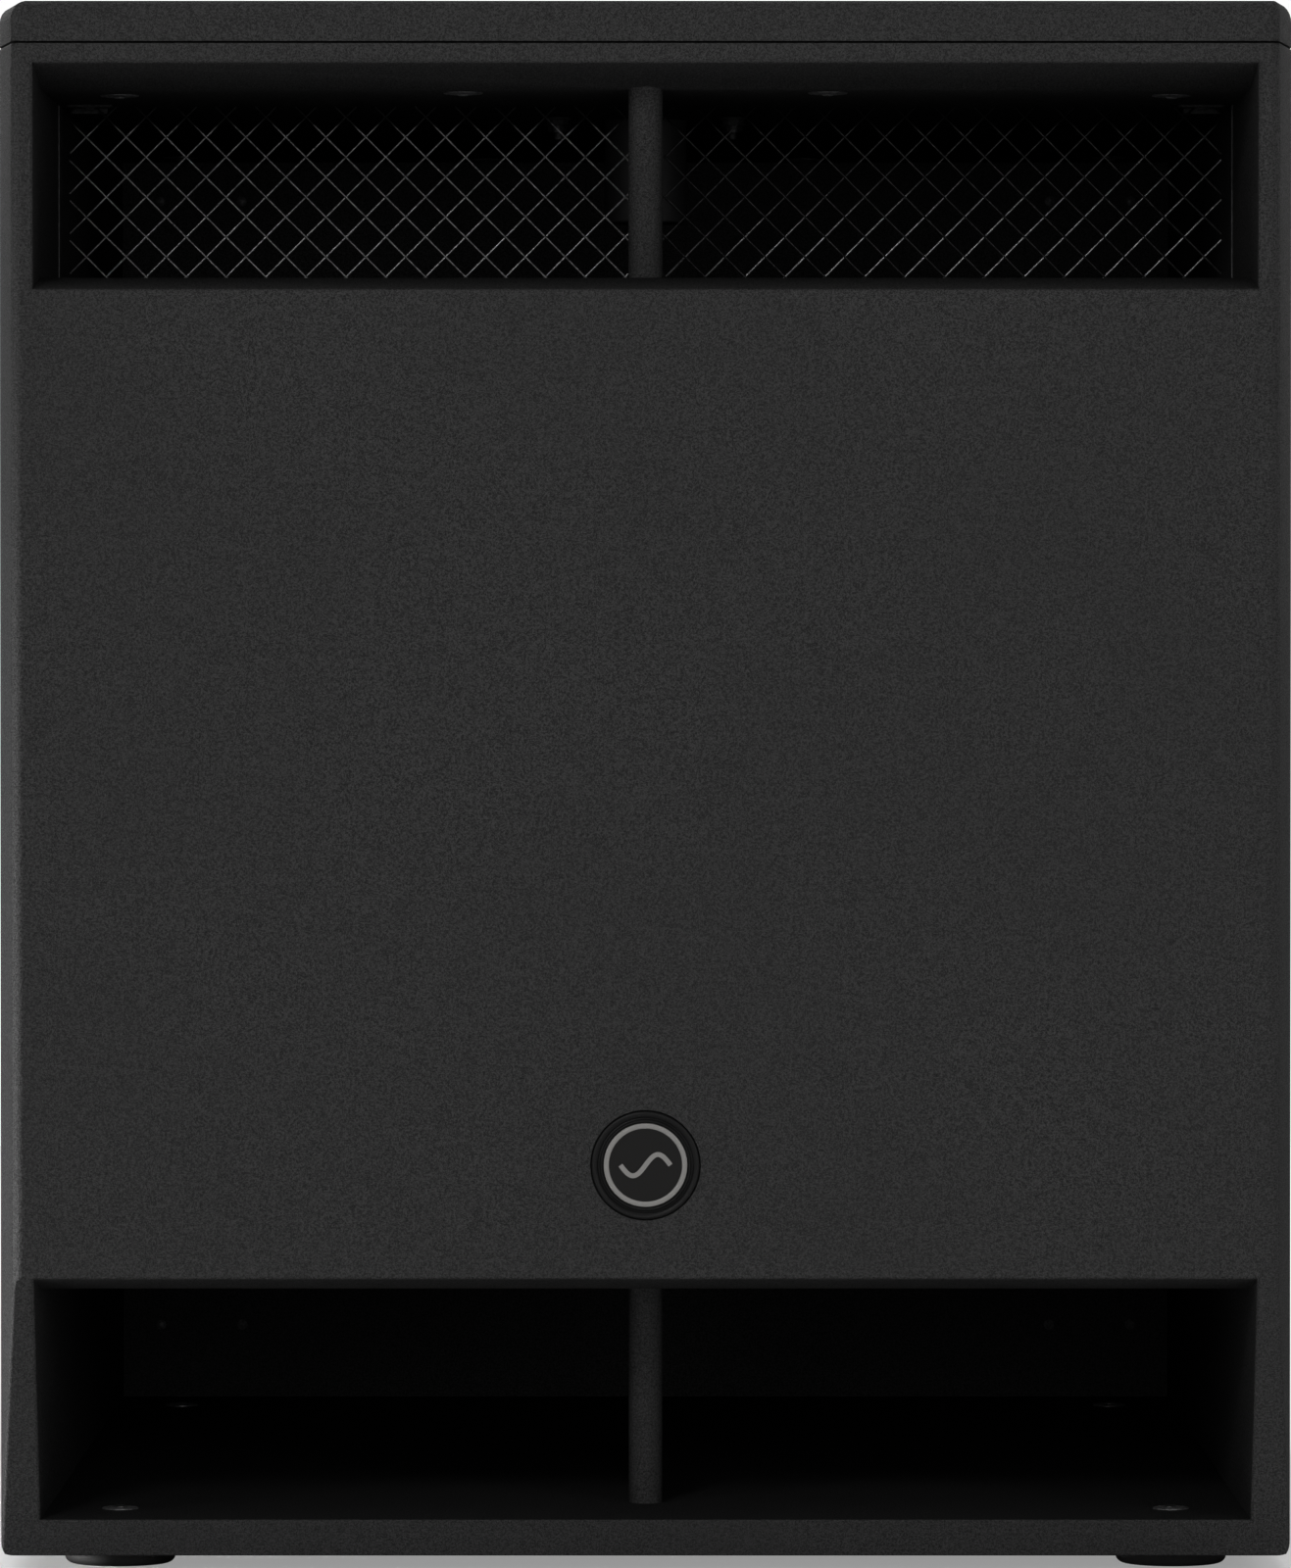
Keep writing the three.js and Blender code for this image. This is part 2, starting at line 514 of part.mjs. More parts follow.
// Power switch: a body with a well, and the rocker tilted in it.
add('switch_body', cut(
  join(blockY([26, 32], [PLATE_OUT, PLATE_OUT + 1.6], ROCKER),
    blockY([22, 28], [PLATE_IN - 20, PLATE_OUT + 0.5], ROCKER)),
  blockY([16.6, 24.8], [PLATE_IN - 10, PLATE_OUT + OVERCUT], ROCKER)), finish.plastic);
const ROCKER_PROFILE = [   // [y, z] about the pivot
  [-4, -4], [0.6, -10.4], [5.3, -10.4], [3.4, 0], [5.3, 10.4], [0.6, 10.4], [-4, 4],
];
const rocker = extrudeX(ROCKER_PROFILE, centred(7.9)).rotateX(THREE.MathUtils.degToRad(-9));
add('power_rocker', rocker, finish.plastic)
  .position.set(ROCKER[0], PLATE_OUT + 0.4, ROCKER[1]);

add('breaker_button', cylinderY(4.8, [PLATE_IN - 12, PLATE_OUT + 4], BREAKER, 12),
  finish.plastic);

// ---- connectors ---------------------------------------------------------
// A rounded flange on the plate with a barrel behind it.
const connectorBody = (at, size, cornerR, barrelR) => join(
  extrudeY(roundRect(at, size, cornerR), [PLATE_OUT, PLATE_OUT + 1.8], 4),
  cylinderY(barrelR, [PLATE_IN - 22, PLATE_OUT + 0.5], at, 16));
const jackBody = (at, boreR) => cut(
  connectorBody(at, [26, 31], 3, 11.8),
  cylinderY(boreR, [PLATE_IN - 14, PLATE_OUT + OVERCUT], at, 14));

// The inlet's bore leaves a post standing in the middle.
add('mains_inlet', cut(
  connectorBody(MAINS, [28, 34], 4, 12.4),
  cut(cylinderY(10.4, [PLATE_IN - 16, PLATE_OUT + OVERCUT], MAINS, 16),
    cylinderY(4, [PLATE_IN - 20, PLATE_OUT + 0.8], MAINS, 12))), finish.plastic);

INPUT_JACKS.forEach((at, i) => {
  const letter = 'ab'[i];
  const latchAt = [at[0], at[1] + 11.8];
  const notch = blockY([8.8, 4.8], [PLATE_OUT - 0.2, PLATE_OUT + OVERCUT], latchAt);
  add(`input_jack_${letter}`, cut(jackBody(at, 8.2), notch), finish.plastic);
  const latch = blockY([8, 4], [PLATE_OUT + 1.6, PLATE_OUT + 4], latchAt);
  add(`input_latch_${letter}`, latch, finish.steel);
});

const PINS = [[-6, 4], [6, 4], [0, -6.5]];   // [x, z] about the jack, before scaling
const PIN_SCALE = 0.8;
OUTPUT_JACKS.forEach((at, i) => {
  const pins = PINS.map(([x, z]) => cylinderY(1.2, [PLATE_IN - 18, PLATE_OUT - 1],
    [at[0] + x * PIN_SCALE, at[1] + z * PIN_SCALE], 10));
  add(`output_jack_${'ab'[i]}`, join(jackBody(at, 9.6), ...pins), finish.plastic);
});

// ---- cooling fan behind the slots ---------------------------------------
const fanSpan = [PLATE_IN - 21, PLATE_IN - 1];
const [fanInner, fanOuter] = fanSpan;
add('fan_frame', join(
  cut(extrudeY(roundRect(FAN, [60, 60], 5), fanSpan, 3),
    cylinderY(28, past(fanSpan), FAN, 18)),
  blockY([58, 4], [fanInner, fanInner + 2], FAN),
  cylinderY(12, [fanInner, fanInner + 2.5], FAN, 12)), finish.plastic);

function fanRotor() {
  const bladeCount = 7;
  const blades = Array.from({ length: bladeCount }, (_, i) =>
    new THREE.BoxGeometry(15, 1.6, 13)
      .rotateX(THREE.MathUtils.degToRad(38))
      .translate(19.2, 0, 0)
      .rotateY((i * 2 * Math.PI) / bladeCount)
      .translate(FAN[0], (fanInner + fanOuter) / 2 + 1, FAN[1]));
  return join(cylinderY(12.5, [fanInner + 3.5, fanOuter - 1], FAN, 12), ...blades);
}
add('fan_rotor', fanRotor(), finish.plastic);

// ---- 18-inch driver, in its own turned group ----------------------------
// Profiles are [radius, z] in the group's frame.
const addToDriver = (name, shape, material) => add(name, shape, material, driver);

addToDriver('driver_gasket', ringZ(CUTOUT_R + 1, 229, [0.4, 2.4], 36), finish.gasket);

const FLANGE_PROFILE = [
  [206, -6], [209.5, -10], [209.5, 2.6], [231, 2.6], [231, 9.6], [229.5, 11],
  [213, 11], [213, 7.5], [206, 7.5], [206, -6],
];
const SPOKE_PROFILE = [   // [y, z]
  [90, -104.7], [99, -104.7], [122, -68], [209, -22], [209, 1], [206.2, 1],
  [206.2, -14], [200, -17], [112, -57.2], [104, -57.2], [104, -66], [90, -96],
];
const SPOKES = 8;
addToDriver('driver_frame', join(
  latheZ(FLANGE_PROFILE, 36),
  ringZ(60, 99, [-104.7, -96], 22),
  ringZ(101, 118, [-62, -57], 22),
  ...Array.from({ length: SPOKES }, (_, i) =>
    extrudeX(SPOKE_PROFILE, centred(9)).rotateZ((i + 0.5) * 2 * Math.PI / SPOKES))),
finish.blackMetal);

addToDriver('top_plate', ringZ(52.3, 98, [-117, -105], 26), finish.steel);
addToDriver('magnet_ring', ringZ(60, 104, [-141, -117.3], 26), finish.ferrite);
addToDriver('back_plate', latheZ([
  [16, -153.5], [96, -153.5], [98, -151.5], [98, -141.3], [49, -141.3], [49, -105],
  [16, -105], [16, -153.5],
], 26), finish.steel);
addToDriver('voice_coil', ringZ(49.8, 51.5, [-126, -30], 26), finish.copper);
addToDriver('cone', latheZ([
  [51.8, -44], [54.2, -44], [54.2, -33], [130, -9], [196, 1.5], [196, 3.5],
  [129, -6.8], [51.8, -31], [51.8, -44],
], 36), finish.paper);
addToDriver('dust_cap', latheZ([
  [0, -6], [24, -8.5], [46, -15.5], [63, -26.6], [64, -25.6], [47, -14],
  [24.5, -6.6], [0, -4], [0, -6],
], 22), finish.paper);
addToDriver('surround', latheZ([
  [185, 3.2], [197.5, 4.9], [200, 10.5], [203, 12.2], [206.5, 11], [208, 7.8],
  [212.7, 7.8], [212.7, 8.6], [209, 8.9], [207.3, 12.1], [203.2, 13.4], [199, 11.4],
  [196.5, 5.8], [185, 4.2], [185, 3.2],
], 36), finish.rubber);
addToDriver('spider', latheZ([
  [54.6, -56], [62, -53], [70, -58.5], [78, -52], [86, -58], [94, -53],
  [101.5, -56.4], [111, -56.4], [111, -55.6], [101, -55.6], [94, -52], [86, -57],
  [78, -51], [70, -57.5], [62, -52], [54.6, -55], [54.6, -56],
], 26), finish.cloth);

// ---- speaker cable, forward from the bay wall ---------------------------
const CABLE_R = 3.6;
const CABLE_STATIONS = [   // [x, depth, z]
  [70, BAY.depth - 0.4, 330], [70, 540, 330], [84, 505, 322], [104, 480, 325], [118, 462, 332],
];
function speakerCable() {
  const extrudePath = new THREE.CatmullRomCurve3(
    CABLE_STATIONS.map(([x, depth, z]) => new THREE.Vector3(x, yAt(depth), z)));
  const section = new THREE.Shape();
  section.absarc(0, 0, CABLE_R, 0, 2 * Math.PI, false);
  return new THREE.ExtrudeGeometry(section, { steps: 10, extrudePath, curveSegments: 4 });
}
add('speaker_cable', speakerCable(), finish.cable);

export default root;
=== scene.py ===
"""A powered bass loudspeaker: a coated board cabinet with two front ducts, a tilted driver inside,
side handles, a pole socket in the lid, four feet and an amplifier plate on the rear.

The frame is in metres, +Z up, the front towards -Y and the left side at -X. Pieces are drawn in
millimetres and scaled when they are added; x = 0 and y = 0 are the middle of the cabinet."""
import math
from itertools import product

import bmesh
import bpy
from mathutils import Matrix, Vector


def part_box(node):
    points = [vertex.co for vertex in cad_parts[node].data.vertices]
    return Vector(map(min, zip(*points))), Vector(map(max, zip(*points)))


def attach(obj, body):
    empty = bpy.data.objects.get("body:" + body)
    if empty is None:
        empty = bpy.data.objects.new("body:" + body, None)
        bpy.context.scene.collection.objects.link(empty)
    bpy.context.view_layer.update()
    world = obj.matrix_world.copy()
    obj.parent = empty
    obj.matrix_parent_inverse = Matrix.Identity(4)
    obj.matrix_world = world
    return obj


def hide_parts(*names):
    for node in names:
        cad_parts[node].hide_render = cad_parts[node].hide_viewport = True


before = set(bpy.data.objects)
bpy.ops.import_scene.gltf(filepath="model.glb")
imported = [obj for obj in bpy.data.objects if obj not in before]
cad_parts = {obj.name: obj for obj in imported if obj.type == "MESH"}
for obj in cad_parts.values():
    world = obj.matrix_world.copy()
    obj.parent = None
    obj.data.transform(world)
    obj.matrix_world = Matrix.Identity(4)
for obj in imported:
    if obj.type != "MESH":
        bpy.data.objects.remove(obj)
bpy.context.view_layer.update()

SCENE = bpy.context.scene
MATERIALS = {}
SIDES = (("left", -1), ("right", 1))

# ---------------------------------------------------------------- dimensions, in mm


def back(distance):
    """The y of a place this far behind the front plane."""
    return distance - 721.0 / 2


def box_mm(node):
    low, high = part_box(node)
    return low * 1000, high * 1000


LID_LOW, LID_HIGH = box_mm("top_lid")
HALF, TOP, REAR = LID_HIGH.x, LID_HIGH.z, LID_HIGH.y
FRONT, LID_UNDER = LID_LOW.y, LID_LOW.z
BOTTOM = box_mm("bottom_panel")[0].z
FLOOR_TOP = box_mm("bottom_panel")[1].z
INNER = box_mm("front_panel")[1].x          # half width between the side panels
REAR_INNER = box_mm("rear_panel")[0].y
CEILING = box_mm("ceiling_panel")[0].z
UPPER_DUCT_FLOOR = box_mm("upper_duct_floor")[1].z
LOWER_DUCT_ROOF = box_mm("lower_duct_roof")[0].z

FRONT_HALF = 273.0                          # half width of the front, between the chamfers
CHAMFER_DEPTH = 46.7
UPPER_PORT_TOP, UPPER_PORT_BOTTOM, LOWER_PORT_TOP = 656.2, 558.6, 131.4
SLOPE_DEPTH = 48.0                          # how far the lower front leans back at the bottom
LIP_DEPTH = 46.0
JOINT_HALF = 0.42                           # half of the dark joint between lid and body
PLAN = [(-FRONT_HALF, FRONT), (FRONT_HALF, FRONT), (HALF, back(CHAMFER_DEPTH)),
        (HALF, REAR), (-HALF, REAR), (-HALF, back(CHAMFER_DEPTH))]

FOOT_X, FOOT_FRONT, FOOT_REAR = 232, 92, 635        # the last two behind the front plane
HANDLE_Y, HANDLE_Z = back(345), 500
HANDLE_SIZE, HANDLE_FLANGE = (206, 146), 3          # outline and thickness of the flange
WELL_LENGTH, WELL_HEIGHT, WELL_DEPTH, WELL_RADIUS = 180, 118, 55, 26
POLE_Y, POLE_BOTTOM = back(305), 600
POLE_OUTER, POLE_INNER = 38 / 2, 35.2 / 2
POLE_FLANGE, POLE_FLANGE_THICK = 58, 3
POLE_CLEARANCE = POLE_OUTER + 0.5
BADGE_Z, BADGE_RADIUS = 180.6, 23.5
PORT_MESH_Y = back(177)

# amplifier plate on the rear, and the (x, z) of what it carries
PLATE_HALF, PLATE_LOW, PLATE_HIGH, PLATE_LAP = 150, 133, 553, 12
PLATE_BACK, PLATE_FACE = REAR + 1.5, REAR + 4.5
KNOB, ROCKER, MAINS, BREAKER = (104, 288), (-104, 284), (-104, 226), (-104, 174)
IN_JACKS, OUT_JACKS = [(104, 232), (68, 232)], [(32, 232), (-4, 232)]
SLIDERS = [(62, 288), (24, 288)]
FAN = (-30, 178)

# ---------------------------------------------------------------- shader tools


class Nodes:
    """Small helper round one node tree. A value given to it is a number, a colour or a socket."""

    def __init__(self, tree):
        self.tree = tree
        tree.nodes.clear()

    def node(self, kind, **properties):
        node = self.tree.nodes.new(kind)
        for name, value in properties.items():
            setattr(node, name, value)
        return node

    def feed(self, value, socket):
        if isinstance(value, bpy.types.NodeSocket):
            self.tree.links.new(value, socket)
        else:
            socket.default_value = value

    def mix_shader(self, factor, first, second):
        node = self.node("ShaderNodeMixShader")
        for socket, value in zip(node.inputs, (factor, first, second)):
            self.feed(value, socket)
        return node.outputs[0]


class Shader(Nodes):
    """One material, built round a Principled surface."""

    def __init__(self, name):
        material = bpy.data.materials.new(name)
        material.use_nodes = True
        super().__init__(material.node_tree)
        MATERIALS[name] = material
        self.output = self.node("ShaderNodeOutputMaterial")
        self.surface = self.node("ShaderNodeBsdfPrincipled")
        self.feed(self.surface.outputs[0], self.output.inputs[0])
        self.place = self.node("ShaderNodeTexCoord").outputs["Object"]

    def set(self, **inputs):
        """Feeds the surface's inputs, their spaces written as underscores."""
        for name, value in inputs.items():
            self.feed(value, self.surface.inputs[name.replace("_", " ")])

    def noise(self, scale, detail=2.0, rough=0.5, distortion=0.0, stretch=None):
        place = self.place
        if stretch:
            mapping = self.node("ShaderNodeMapping")
            mapping.inputs["Scale"].default_value = stretch
            self.feed(place, mapping.inputs["Vector"])
            place = mapping.outputs[0]
        node = self.node("ShaderNodeTexNoise")
        node.inputs["Scale"].default_value = scale
        node.inputs["Detail"].default_value = detail
        node.inputs["Roughness"].default_value = rough
        node.inputs["Distortion"].default_value = distortion
        self.feed(place, node.inputs["Vector"])
        return node.outputs["Fac"]

    def wave(self, direction, scale):
        node = self.node("ShaderNodeTexWave", wave_type="BANDS", bands_direction=direction)
        node.inputs["Scale"].default_value = scale
        self.feed(self.place, node.inputs["Vector"])
        return node.outputs["Fac"]

    def math(self, operation, *values):
        node = self.node("ShaderNodeMath", operation=operation)
        for socket, value in zip(node.inputs, values):
            self.feed(value, socket)
        return node.outputs[0]

    def blend(self, first, second, share):
        """Weighted sum; share is the weight of the first."""
        return self.math("ADD", self.math("MULTIPLY", first, share),
                         self.math("MULTIPLY", second, 1 - share))

    def remap(self, value, span=(0.3, 0.7), to=(0.0, 1.0)):
        node = self.node("ShaderNodeMapRange")
        node.inputs["From Min"].default_value, node.inputs["From Max"].default_value = span
        node.inputs["To Min"].default_value, node.inputs["To Max"].default_value = to
        self.feed(value, node.inputs["Value"])
        return node.outputs[0]

    def mix(self, factor, first, second):
        """Colour mix; a plain number is a grey."""
        node = self.node("ShaderNodeMix", data_type="RGBA")
        self.feed(factor, node.inputs[0])
        for socket, value in ((6, first), (7, second)):
            if isinstance(value, float):
                value = (value, value, value)
            if isinstance(value, tuple):
                value = (*value, 1)
            self.feed(value, node.inputs[socket])
        return node.outputs[2]

    def bump(self, height, depth, strength):
        node = self.node("ShaderNodeBump")
        node.inputs["Strength"].default_value = strength
        node.inputs["Distance"].default_value = depth
        self.feed(height, node.inputs["Height"])
        return node.outputs[0]

    def glancing(self, face_on, edge_on):
        """Specular level that falls at glancing angles, as fine texture hides its reflections."""
        node = self.node("ShaderNodeLayerWeight")
        node.inputs["Blend"].default_value = 0.5
        return self.remap(node.outputs["Facing"], span=(0.25, 0.8), to=(face_on, edge_on))


# ---------------------------------------------------------------- materials


def grained(name, grain, tones, rough, relief=None, patches=None, contrast=None, **inputs):
    """One noise, the grain, drives tone, roughness and relief.

    relief is (depth in m, strength); patches is a second noise that takes over the tone;
    contrast is the span of the noise that is stretched over the two tones."""
    shader = Shader(name)
    fine = shader.noise(**grain)
    tone = shader.noise(**patches) if patches else fine
    if contrast:
        tone = shader.remap(tone, span=contrast)
    shader.set(Base_Color=shader.mix(tone, *tones), Roughness=shader.remap(fine, to=rough), **inputs)
    if relief:
        depth, strength = relief
        shader.set(Normal=shader.bump(fine, depth=depth, strength=strength))
    return shader


def metal(name, tones, rough, stretch, depth, metallic=1.0):
    """Grained metal; stretch sets the grain's fineness along x, y and z."""
    shader = Shader(name)
    streaks = shader.noise(scale=1.0, detail=4, rough=0.6, stretch=stretch)
    clouds = shader.noise(scale=60, detail=3, rough=0.6)
    tone = shader.remap(shader.blend(streaks, clouds, share=0.6), span=(0.35, 0.65))
    shader.set(Base_Color=shader.mix(tone, *tones), Roughness=shader.remap(streaks, to=rough),
               Normal=shader.bump(streaks, depth=depth, strength=0.5), Metallic=metallic)


def weave(name, scale, tones):
    shader = Shader(name)
    cloth = shader.math("MULTIPLY", shader.wave("X", scale), shader.wave("Y", scale))
    shader.set(Base_Color=shader.mix(cloth, *tones),
               Roughness=shader.remap(shader.noise(scale=500), to=(0.8, 0.95)),
               Normal=shader.bump(cloth, depth=0.0002, strength=0.8))


def coating():
    """Sprayed textured coating: pebbles of about 1 mm with a finer grain on them."""
    shader = Shader("coating")
    patches = shader.noise(scale=6.0, rough=0.55)
    relief = shader.blend(shader.noise(scale=1150, detail=1), shader.noise(scale=2300, detail=0),
                          share=0.62)
    # the tone follows the relief, lighter on the pebble tops: painted highlight on the pebbles
    tone = shader.mix(shader.remap(relief, span=(0.34, 0.66)), (0.0080, 0.0080, 0.0081), 0.0395)
    patchy = shader.remap(patches, span=(0.35, 0.65), to=(0.0, 0.25))
    shader.set(Base_Color=shader.mix(patchy, tone, (0.0175, 0.0175, 0.0176)),
               Roughness=shader.remap(relief, span=(0.35, 0.65), to=(0.86, 0.70)),
               Normal=shader.bump(relief, depth=0.00060, strength=0.9),
               Specular_IOR_Level=shader.glancing(face_on=0.22, edge_on=0.01))


def wire(name, slanted):
    """Dulled galvanised wire with a blotchy zinc tone, darkened in places by painted shade.

    The lit share, mixed against a near-black painted shade, fades near the top and at the left end.
    On the right half it is low all over, or, if slanted, falls off above a line that rises to the
    right. Places are in metres."""
    shader = Shader(name)
    math_node, remap = shader.math, shader.remap
    blotches = shader.noise(scale=420, detail=4, rough=0.65)
    place = shader.node("ShaderNodeSeparateXYZ")
    shader.feed(shader.place, place.inputs[0])
    x, z = place.outputs["X"], place.outputs["Z"]
    wobble_height = 0.012
    wobble = math_node("MULTIPLY", math_node("SUBTRACT", shader.noise(scale=90), 0.5),
                       wobble_height)
    # painted shade: darker under the ceiling, near the left wall and on the right half of the port
    top = remap(math_node("MULTIPLY_ADD", wobble, 0.3, z), span=(0.6352, 0.6392), to=(1.0, 0.05))
    right = remap(x, span=(-0.004, 0.004))
    if slanted:
        line_slope, line_height = 0.194, 0.577
        line = math_node("MULTIPLY_ADD", x, line_slope, line_height)
        above = math_node("SUBTRACT", math_node("ADD", z, wobble), line)
        lit_right = remap(above, span=(-0.008, 0.014), to=(1.0, 0.20))
    else:
        lit_right = remap(shader.noise(scale=60, detail=1), to=(0.13, 0.19))
    left_end = remap(x, span=(-0.259, -0.251), to=(0.4, 1.0))
    lit_share = math_node(
        "MULTIPLY", math_node("MULTIPLY", top, left_end),
        math_node("ADD", 1.0, math_node("MULTIPLY", right,
                                        math_node("SUBTRACT", lit_right, 1.0))))
    zinc = shader.mix(remap(blotches, span=(0.38, 0.62)), (0.10, 0.10, 0.102),
                      (0.235, 0.235, 0.237))
    # 0.003 is the painted shade colour, shown where the lit share is low
    shader.set(Base_Color=shader.mix(lit_share, 0.003, zinc),
               Roughness=remap(shader.noise(scale=2500), to=(0.24, 0.4)),
               Normal=shader.bump(shader.noise(scale=3200, detail=3), depth=0.00003, strength=0.5),
               Metallic=0.85, Specular_IOR_Level=0.1)


def black_metal():
    """Fine-texture powder coat."""
    shader = Shader("black_metal")
    tone = shader.remap(shader.noise(scale=9, detail=3), span=(0.35, 0.65))
    shader.set(Base_Color=shader.mix(tone, (0.0150, 0.0150, 0.0153), (0.0200, 0.0200, 0.0203)),
               Roughness=shader.remap(shader.noise(scale=1500, detail=0), to=(0.52, 0.66)),
               Normal=shader.bump(shader.noise(scale=1900, detail=1), depth=0.00012, strength=0.8),
               Specular_IOR_Level=shader.glancing(face_on=0.34, edge_on=0.03))


def black_plastic():
    shader = Shader("black_plastic")
    shader.set(Base_Color=shader.mix(shader.noise(scale=60, detail=3),
                                     (0.011, 0.011, 0.0115), (0.0165, 0.0165, 0.017)),
               Roughness=shader.remap(shader.noise(scale=900), to=(0.38, 0.52)),
               Normal=shader.bump(shader.noise(scale=2600, detail=1), depth=0.00004, strength=0.5))


def circuit_board():
    shader = Shader("circuit_board")
    tracks = shader.noise(scale=260, detail=0, stretch=(1, 1, 0.3))
    edge = (0.48, 0.52)
    shader.set(Base_Color=shader.mix(shader.remap(tracks, span=edge),
                                     (0.010, 0.055, 0.022), (0.016, 0.085, 0.034)),
               Roughness=shader.remap(shader.noise(scale=900), to=(0.3, 0.45)),
               Normal=shader.bump(shader.remap(tracks, span=edge), depth=0.00004, strength=0.6))


def copper_wire():
    """Enamelled winding: rings along the coil's axis."""
    shader = Shader("copper_wire")
    turns = shader.wave("Z", scale=900)
    shader.set(Base_Color=shader.mix(turns, (0.19, 0.055, 0.022), (0.42, 0.14, 0.06)),
               Roughness=shader.remap(shader.noise(scale=600), to=(0.25, 0.4)),
               Normal=shader.bump(turns, depth=0.0001, strength=0.7), Metallic=0.8)


def make_materials():
    coating()
    wire("mesh_wire", slanted=True)
    wire("mesh_wire_b", slanted=False)
    black_metal()
    black_plastic()
    circuit_board()
    copper_wire()
    foot = grained("foot_rubber", grain=dict(scale=900, detail=3, rough=0.6),
                   patches=dict(scale=30), tones=(0.012, (0.020, 0.0195, 0.019)),
                   rough=(0.62, 0.82), relief=(0.00010, 0.6))
    foot.set(Specular_IOR_Level=foot.glancing(face_on=0.22, edge_on=0.02))
    grained("grip_rubber", grain=dict(scale=1100, detail=3, rough=0.6), patches=dict(scale=45),
            tones=(0.010, 0.017), rough=(0.58, 0.78), relief=(0.00008, 0.6))
    grained("knob_plastic", grain=dict(scale=1800), patches=dict(scale=80, detail=3),
            tones=((0.016, 0.016, 0.017), (0.023, 0.023, 0.024)), rough=(0.42, 0.55),
            relief=(0.00003, 0.5))
    grained("bezel", grain=dict(scale=1400), patches=dict(scale=90),
            tones=((0.0045, 0.0045, 0.0046), 0.0075), rough=(0.30, 0.42), relief=(0.00002, 0.4),
            Specular_IOR_Level=0.11)
    # satin printed metal
    grained("badge_silver", grain=dict(scale=1.0, detail=3, rough=0.6, stretch=(900, 900, 900)),
            tones=((0.180, 0.176, 0.169), (0.228, 0.222, 0.213)), rough=(0.40, 0.55),
            relief=(0.00002, 0.4), Metallic=0.25)
    grained("badge_field", grain=dict(scale=1500, detail=3, rough=0.6),
            tones=((0.0058, 0.0056, 0.0053), (0.0088, 0.0086, 0.0082)), rough=(0.42, 0.58),
            relief=(0.00002, 0.4), Specular_IOR_Level=0.12)
    grained("gasket_foam", grain=dict(scale=1600, detail=3, rough=0.7), tones=(0.006, 0.014),
            rough=(0.85, 0.98), relief=(0.0002, 0.8))
    # zinc with overspray, and a lighter copy of it whose extra brightness is painted highlight
    grained("tnut_zinc", grain=dict(scale=700, detail=4, rough=0.6), contrast=(0.35, 0.6),
            tones=((0.020, 0.020, 0.021), (0.080, 0.080, 0.082)), rough=(0.6, 0.42),
            relief=(0.0001, 0.6), Metallic=0.4)
    grained("tnut_zinc_lit", grain=dict(scale=600, detail=4, rough=0.6), contrast=(0.36, 0.58),
            tones=((0.06, 0.06, 0.061), (0.22, 0.22, 0.222)), rough=(0.55, 0.32),
            relief=(0.0001, 0.6), Metallic=0.6)
    # galvanised strip with overspray
    grained("strip_steel", grain=dict(scale=500, detail=3, rough=0.6), contrast=(0.35, 0.65),
            tones=((0.020, 0.020, 0.0205), (0.045, 0.045, 0.046)), rough=(0.55, 0.4),
            relief=(0.00008, 0.6), Metallic=0.6)
    grained("ferrite", grain=dict(scale=1500, detail=4, rough=0.65),
            tones=((0.022, 0.022, 0.024), (0.036, 0.036, 0.038)), rough=(0.6, 0.8),
            relief=(0.0001, 0.7))
    grained("cone_paper", grain=dict(scale=650, detail=5, rough=0.7, distortion=0.6),
            contrast=(0.35, 0.65), tones=((0.010, 0.010, 0.0098), (0.022, 0.0215, 0.021)),
            rough=(0.78, 0.92), relief=(0.0002, 0.8))
    grained("cable_jacket", grain=dict(scale=700), tones=(0.006, 0.011), rough=(0.42, 0.55),
            relief=(0.00005, 0.5))
    grained("mark_white", grain=dict(scale=1500, detail=3), contrast=(0.3, 0.7),
            tones=((0.50, 0.50, 0.49), (0.62, 0.62, 0.61)), rough=(0.45, 0.6))
    grained("breaker_black", grain=dict(scale=1200), patches=dict(scale=70),
            tones=(0.020, 0.030), rough=(0.3, 0.42))
    for name, tones in (("led_green", ((0.02, 0.16, 0.04), (0.05, 0.30, 0.08))),
                        ("led_red", ((0.20, 0.015, 0.01), (0.36, 0.03, 0.02))),
                        ("led_amber", ((0.26, 0.11, 0.01), (0.42, 0.18, 0.02)))):
        grained(name, grain=dict(scale=900), tones=tones, rough=(0.12, 0.2),
                Transmission_Weight=0.3, IOR=1.5)
    metal("heat_sink", tones=((0.040, 0.041, 0.043), (0.062, 0.063, 0.066)), rough=(0.30, 0.42),
          stretch=(900, 900, 18), depth=0.00002, metallic=0.8)
    metal("plated_steel", tones=((0.30, 0.30, 0.305), (0.47, 0.47, 0.465)), rough=(0.26, 0.42),
          stretch=(700, 700, 700), depth=0.00002)
    # black zinc
    metal("dark_steel", tones=((0.035, 0.035, 0.037), (0.065, 0.065, 0.067)), rough=(0.34, 0.5),
          stretch=(800, 800, 800), depth=0.00003, metallic=0.8)
    metal("contact_gold", tones=((0.55, 0.38, 0.12), (0.75, 0.55, 0.2)), rough=(0.2, 0.32),
          stretch=(900, 900, 900), depth=0.00001)
    weave("surround_cloth", scale=420, tones=(0.008, (0.018, 0.018, 0.0175)))
    weave("spider_cloth", scale=460, tones=((0.11, 0.075, 0.028), (0.24, 0.17, 0.07)))


# ---------------------------------------------------------------- outlines


